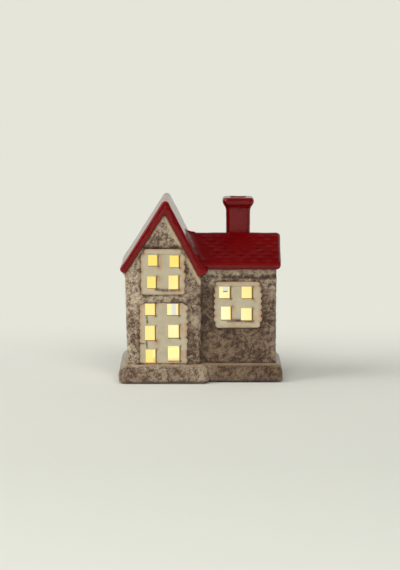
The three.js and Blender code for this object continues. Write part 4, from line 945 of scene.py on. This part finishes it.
# Wing roof. The lower roof, luted into the tower roof's right slope: rounded at its gable end and eaves, with
# courses of shingles whose laps show as short dark dashes under the thick glaze.
wing_roof_low, wing_roof_high = node_box("wing_roof")
wing_roof = roof_slabs("wing_roof_glazed", WING_ROOF, "X", wing_roof_low[0] - 3, wing_roof_high[0], 2.5, 1.3,
                       0.3, (0.3, 0.3))
slopes = [shingle_slope(WING_ROOF, side, "X", wing_roof_low[0], wing_roof_high[0] - 1, 0.5, 17 + side)
          for side in (-1, 1)]
# They sink into the slab beside the tower, where it is plain.
plain = [TOWER_ROOF[1], TOWER_ROOF[2]]
fall = (Vector(plain[1]) - Vector(plain[0])).normalized()


def clear_of_tower(points):
    """0 beside the tower roof's slope and 1 away from it."""
    away = (points[:, 0] - plain[0][0]) * -fall.y + (points[:, 2] - plain[0][1]) * fall.x
    return rise(away, 4.5, 8.5)


for slope in slopes:
    points = points_of(slope)
    points[:, 2] -= 1.6 * (1 - clear_of_tower(points))
    move_points(slope, points)
# Where it meets the tower's slope the clay is smoothed up into a cove, as points from the corner of the two.
COVE = ((-1.0, -1.6), (5.5, -0.8), (5.5, 0.3), (3.5, 0.45), (1.7, 0.95), (0.1, 1.8), (-1.25, 3.0),
        (-2.4, 4.5), (-3.4, 4.3))
steepness = -slopes_of(TOWER_ROOF)[1]
cove_rings = []
for y in (-23.5, 0, 23.5):
    z = height_under(WING_ROOF, 0, y)
    x = TOWER_ROOF[1][0] + (TOWER_ROOF[1][1] - z) / steepness + 0.6
    cove_rings.append([(x + out, y, z + up) for out, up in COVE])
wing_roof = merge("wing_roof_glazed", [wing_roof, *slopes, ring_stack("cove", cove_rings)])
cast(wing_roof, 0.42, 5)
foot = TOWER_ROOF[2]
combine(wing_roof, "DIFFERENCE", prism("tower_roof_side", "Y", [
    (-40, 50), (foot[0] - 1.5, 50), (foot[0] - 1.5, height_under(TOWER_ROOF, 1.5, foot[0] - 1.5)),
    peak_under(TOWER_ROOF, 1.5), (-40, 115)], -40, 40))
glaze_roof(wing_roof, 61, "wing_roof", (ROOM_LINK, wing_room[1]),
           0.5 * clear_of_tower(points_of(wing_roof)), 0.008)


# Chimney. A hand-built square stack behind the ridge, with a flared cap that rolls over at its rim round a
# shallow flue, under the same oxblood glaze.
CHIMNEY_X, CHIMNEY_Y = 22.45, 6.5
# Each level is a height, then half the width and half the depth there.
CHIMNEY_LEVELS = ((80.5, 7.3, 5.9), (92, 7.3, 5.9), (99, 7.35, 6.0), (102, 7.4, 6.0), (103.4, 7.7, 6.2),
                  (104.8, 8.3, 6.9), (106, 9.1, 7.7), (107, 9.5, 8.1), (108.1, 9.65, 8.25), (109.1, 9.4, 8.1),
                  (109.8, 8.9, 7.6), (110.15, 8.1, 6.9))
FLUE_LEVELS = ((106.2, 4.3, 3.2), (109.4, 4.4, 3.3), (111, 6.0, 4.9))


def chimney_stack(name, levels, corner):
    return ring_stack(name, [
        rounded_ring(CHIMNEY_X - w, CHIMNEY_X + w, CHIMNEY_Y - d, CHIMNEY_Y + d, z, corner)
        for z, w, d in levels])


chimney = chimney_stack("chimney_glazed", CHIMNEY_LEVELS, 3.3)
combine(chimney, "DIFFERENCE", chimney_stack("flue", FLUE_LEVELS, 1.5),
        prism("under_ridge", "X", under_roof(WING_ROOF, 1.2, -30, 30, 60), 0, 50))
cast(chimney, 0.4, 4)
glaze_roof(chimney, 71, "chimney")


# Foot pads. Discs die-cut from pressed wool felt, with a soft edge, glued under the plinth's corners.
def grained(name, colours, pattern, bump=None, **inputs):
    """A material between two colours that follow a grain, given as a kind of texture and its inputs. Bump is
    the strength and depth of a relief that follows it too."""
    material, tree, shader, place = start_material(name)
    kind, sizes = pattern
    grain = add_node(tree, kind, {"Vector": place, **sizes})
    shade = add_node(tree, "Mix", {"Factor": grain, "A": colours[0], "B": colours[1]}, data_type="RGBA")
    feed(shader, {"Base Color": shade, **inputs})
    if bump:
        feed(shader, {"Normal": add_node(tree, "Bump", {
            "Height": grain, "Strength": bump[0], "Distance": bump[1] * MM})})
    return material


# Matt, with short crossed fibres.
felt = grained("pressed_wool_felt", ("3a342c", "5c5347"), ("TexNoise", {
    "Scale": 1 / (0.35 * MM), "Detail": 4, "Roughness": 0.7, "Distortion": 1.5}), (0.8, 0.2),
    **{"Roughness": 0.95, "Sheen Weight": 0.4})
PAD_LEVELS = ((0.0, 0.35), (0.12, 0.1), (0.4, 0), (0.66, 0.08), (0.82, 0.3))
for number in range(1, 5):
    low, high = node_box(f"foot_pad_{number}")
    radius = (high[0] - low[0]) / 2
    middle = ((low[0] + high[0]) / 2, (low[1] + high[1]) / 2)
    pad = ring_stack(f"felt_pad_{number}", [[
        (middle[0] + (radius - inset) * math.cos(math.tau * i / 48),
         middle[1] + (radius - inset) * math.sin(math.tau * i / 48), low[2] + z) for i in range(48)]
        for z, inset in PAD_LEVELS])
    finish(pad, [felt], "house", "felt", f"foot_pad_{number}")


# Gasket. A ring of soft closed-cell foam tape that beds the battery box's flange in the plinth.
# Dull, with open cells at its cut edges.
foam = grained("closed_cell_foam", ("cfccc2", "dedbd2"), ("TexVoronoi", {"Scale": 1 / (0.5 * MM)}),
               (0.4, 0.1), Roughness=0.85)
gasket = block("foam_gasket", gasket_low, gasket_high)
combine(gasket, "DIFFERENCE", gasket_block("bore", SEAT_GAP - FLANGE, gasket_high[2] + 5))
round_off(gasket, 0.14)
finish(gasket, [foam], "house", "foam", "box_gasket")


# Light module. A moulded ABS box with its cover and switch, screwed shut, that holds two cells on plated
# contacts. It is bought in and seen from below only.
def finish_nodes(material, *nodes):
    """Carried pieces keep their shape and get a finish."""
    for node in nodes:
        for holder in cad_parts[node].material_slots:
            holder.material = material


# Satin moulded plastic with a fine grain, a little cloudy where it flowed.
abs_ivory, tree, shader, place = start_material("ivory_abs")
grain = add_node(tree, "TexNoise", {"Vector": place, "Scale": 1 / (0.3 * MM), "Detail": 2}).outputs["Fac"]
flow = add_node(tree, "TexNoise", {"Vector": place, "Scale": 1 / (18 * MM), "Detail": 2})
shade = add_node(tree, "Mix", {"Factor": flow, "A": "e2dccf", "B": "e9e4da"}, data_type="RGBA")
bump = add_node(tree, "Bump", {"Height": grain, "Strength": 0.25, "Distance": 0.05 * MM})
feed(shader, {"Base Color": shade, "Normal": bump})
# The lamp shines on the top of the box, inside the house.
box_top = node_box("battery_box")[1][2]
upwards = add_node(tree, "SeparateXYZ", {"Vector": place}).outputs["Z"]
lamplight = add_node(tree, "MapRange", {"Value": upwards, "From Min": (box_top - 3) * MM,
                     "From Max": (box_top - 0.5) * MM, "To Max": 0.5})
feed(shader, {"Emission Strength": lamplight, "Emission Color": "f5e28c", "Roughness": 0.45})
finish_nodes(abs_ivory, "battery_box", "battery_cover")

# Drawn metal whose plating is brighter and duller along its length.
nickel, tree, shader, place = start_material("nickel_plated_steel")
drawn = add_node(tree, "Mapping", {"Vector": place, "Scale": (1, 1, 12)})
marks = add_node(tree, "TexNoise", {"Vector": drawn, "Scale": 1 / (2 * MM), "Detail": 3})
dull = add_node(tree, "MapRange", {"Value": marks, "To Min": 0.22, "To Max": 0.42})
shade = add_node(tree, "Mix", {"Factor": marks, "A": "b7b3a8", "B": "cfccc4"}, data_type="RGBA")
feed(shader, {"Roughness": dull, "Base Color": shade, "Metallic": 1})
finish_nodes(nickel, "cover_screw", "contact_spring_front", "contact_spring_back", "bridge_plate",
             "negative_plate", "positive_plate")

# Shrunk film round the cell, a little scuffed, with the metal can bare at both ends.
wrap, tree, shader, place = start_material("printed_cell_wrap")
facing = add_node(tree, "NewGeometry").outputs["Normal"]
along = add_node(tree, "SeparateXYZ", {"Vector": facing}).outputs["X"]
end_on = add_node(tree, "Math", [along], operation="ABSOLUTE")
is_end = add_node(tree, "Math", [end_on, 0.9], operation="GREATER_THAN")
scuff = add_node(tree, "TexNoise", {"Vector": place, "Scale": 1 / (3 * MM), "Detail": 3})
film = add_node(tree, "Mix", {"Factor": scuff, "A": "33383b", "B": "454b4e"}, data_type="RGBA")
shade = add_node(tree, "Mix", {"Factor": is_end, "A": film, "B": "b5b2aa"}, data_type="RGBA")
feed(shader, {"Base Color": shade, "Metallic": is_end, "Roughness": 0.32})
finish_nodes(wrap, "battery_front", "battery_back")

# A fine moulded grain.
black_abs = grained("black_abs", ("181819", "232324"), ("TexNoise", {"Scale": 1 / (0.25 * MM), "Detail": 2}),
                    (0.3, 0.04), Roughness=0.35)
finish_nodes(black_abs, "switch_body", "switch_slider")


# Lamp. A warm white LED on a spacer and a small round board, under a frosted cap that spreads its light, with
# a resistor and two insulated leads.
# Shiny lacquer over glass cloth, whose weave just shows.
solder_mask, tree, shader, place = start_material("green_solder_mask")
weave = add_node(tree, "TexWave", {"Vector": place, "Scale": 1 / (4 * MM), "Distortion": 1},
                 bands_direction="DIAGONAL").outputs["Fac"]
shade = add_node(tree, "Mix", {"Factor": weave, "A": "2a5938", "B": "336343"}, data_type="RGBA")
feed(shader, {"Base Color": shade, "Roughness": 0.3})
finish_nodes(solder_mask, "lamp_board")
finish_nodes(abs_ivory, "lamp_spacer")


def glowing_cap(name, near, far, strength, roughness):
    """Plastic lit from inside: brightest around the chip."""
    material, tree, shader, place = start_material(name)
    away = add_node(tree, "VectorMath", [place, lamp_middle], operation="DISTANCE")
    fade = add_node(tree, "MapRange", {"Value": away, "From Min": 1 * MM,
                    "From Max": 14 * MM})
    glow = add_node(tree, "Mix", {"Factor": fade, "A": near, "B": far}, data_type="RGBA")
    feed(shader, {"Emission Color": glow, "Base Color": glow, "Emission Strength": strength,
         "Roughness": roughness})
    return material


finish_nodes(glowing_cap("clear_epoxy_lens", "ffe9b0", "ffc864", 1.2, 0.1), "lamp")
finish_nodes(glowing_cap("frosted_cap", "fff3cf", "ffdf98", 0.9, 0.6), "lamp_diffuser")

# Dipped coat with painted colour bands across its length.
resistor, tree, shader, place = start_material("coated_resistor")
low, high = node_box("lamp_resistor")
long_axis = "X" if high[0] - low[0] > high[1] - low[1] else "Y"
start, end = (low[0], high[0]) if long_axis == "X" else (low[1], high[1])
along = add_node(tree, "SeparateXYZ", {"Vector": place}).outputs[long_axis]
share = add_node(tree, "MapRange", {"Value": along, "From Min": start * MM, "From Max": end * MM})
COAT = "c8b48a"
bands = add_node(tree, "ValToRGB", {"Fac": share}, (
    (0, COAT), (0.2, "7a4a22"), (0.3, COAT), (0.4, "1c1a18"), (0.5, COAT), (0.6, "7a2a1c"), (0.7, COAT)))
bands.color_ramp.interpolation = "CONSTANT"
feed(shader, {"Base Color": bands, "Roughness": 0.4})
finish_nodes(resistor, "lamp_resistor")

# Smooth extruded PVC sleeves.
for node, dark, pale in (("lead_red", "9c1a12", "b3241a"), ("lead_black", "141414", "202020")):
    sleeve = grained("pvc_" + node, (dark, pale), ("TexNoise", {"Scale": 1 / (1.5 * MM)}), Roughness=0.45)
    finish_nodes(sleeve, node)
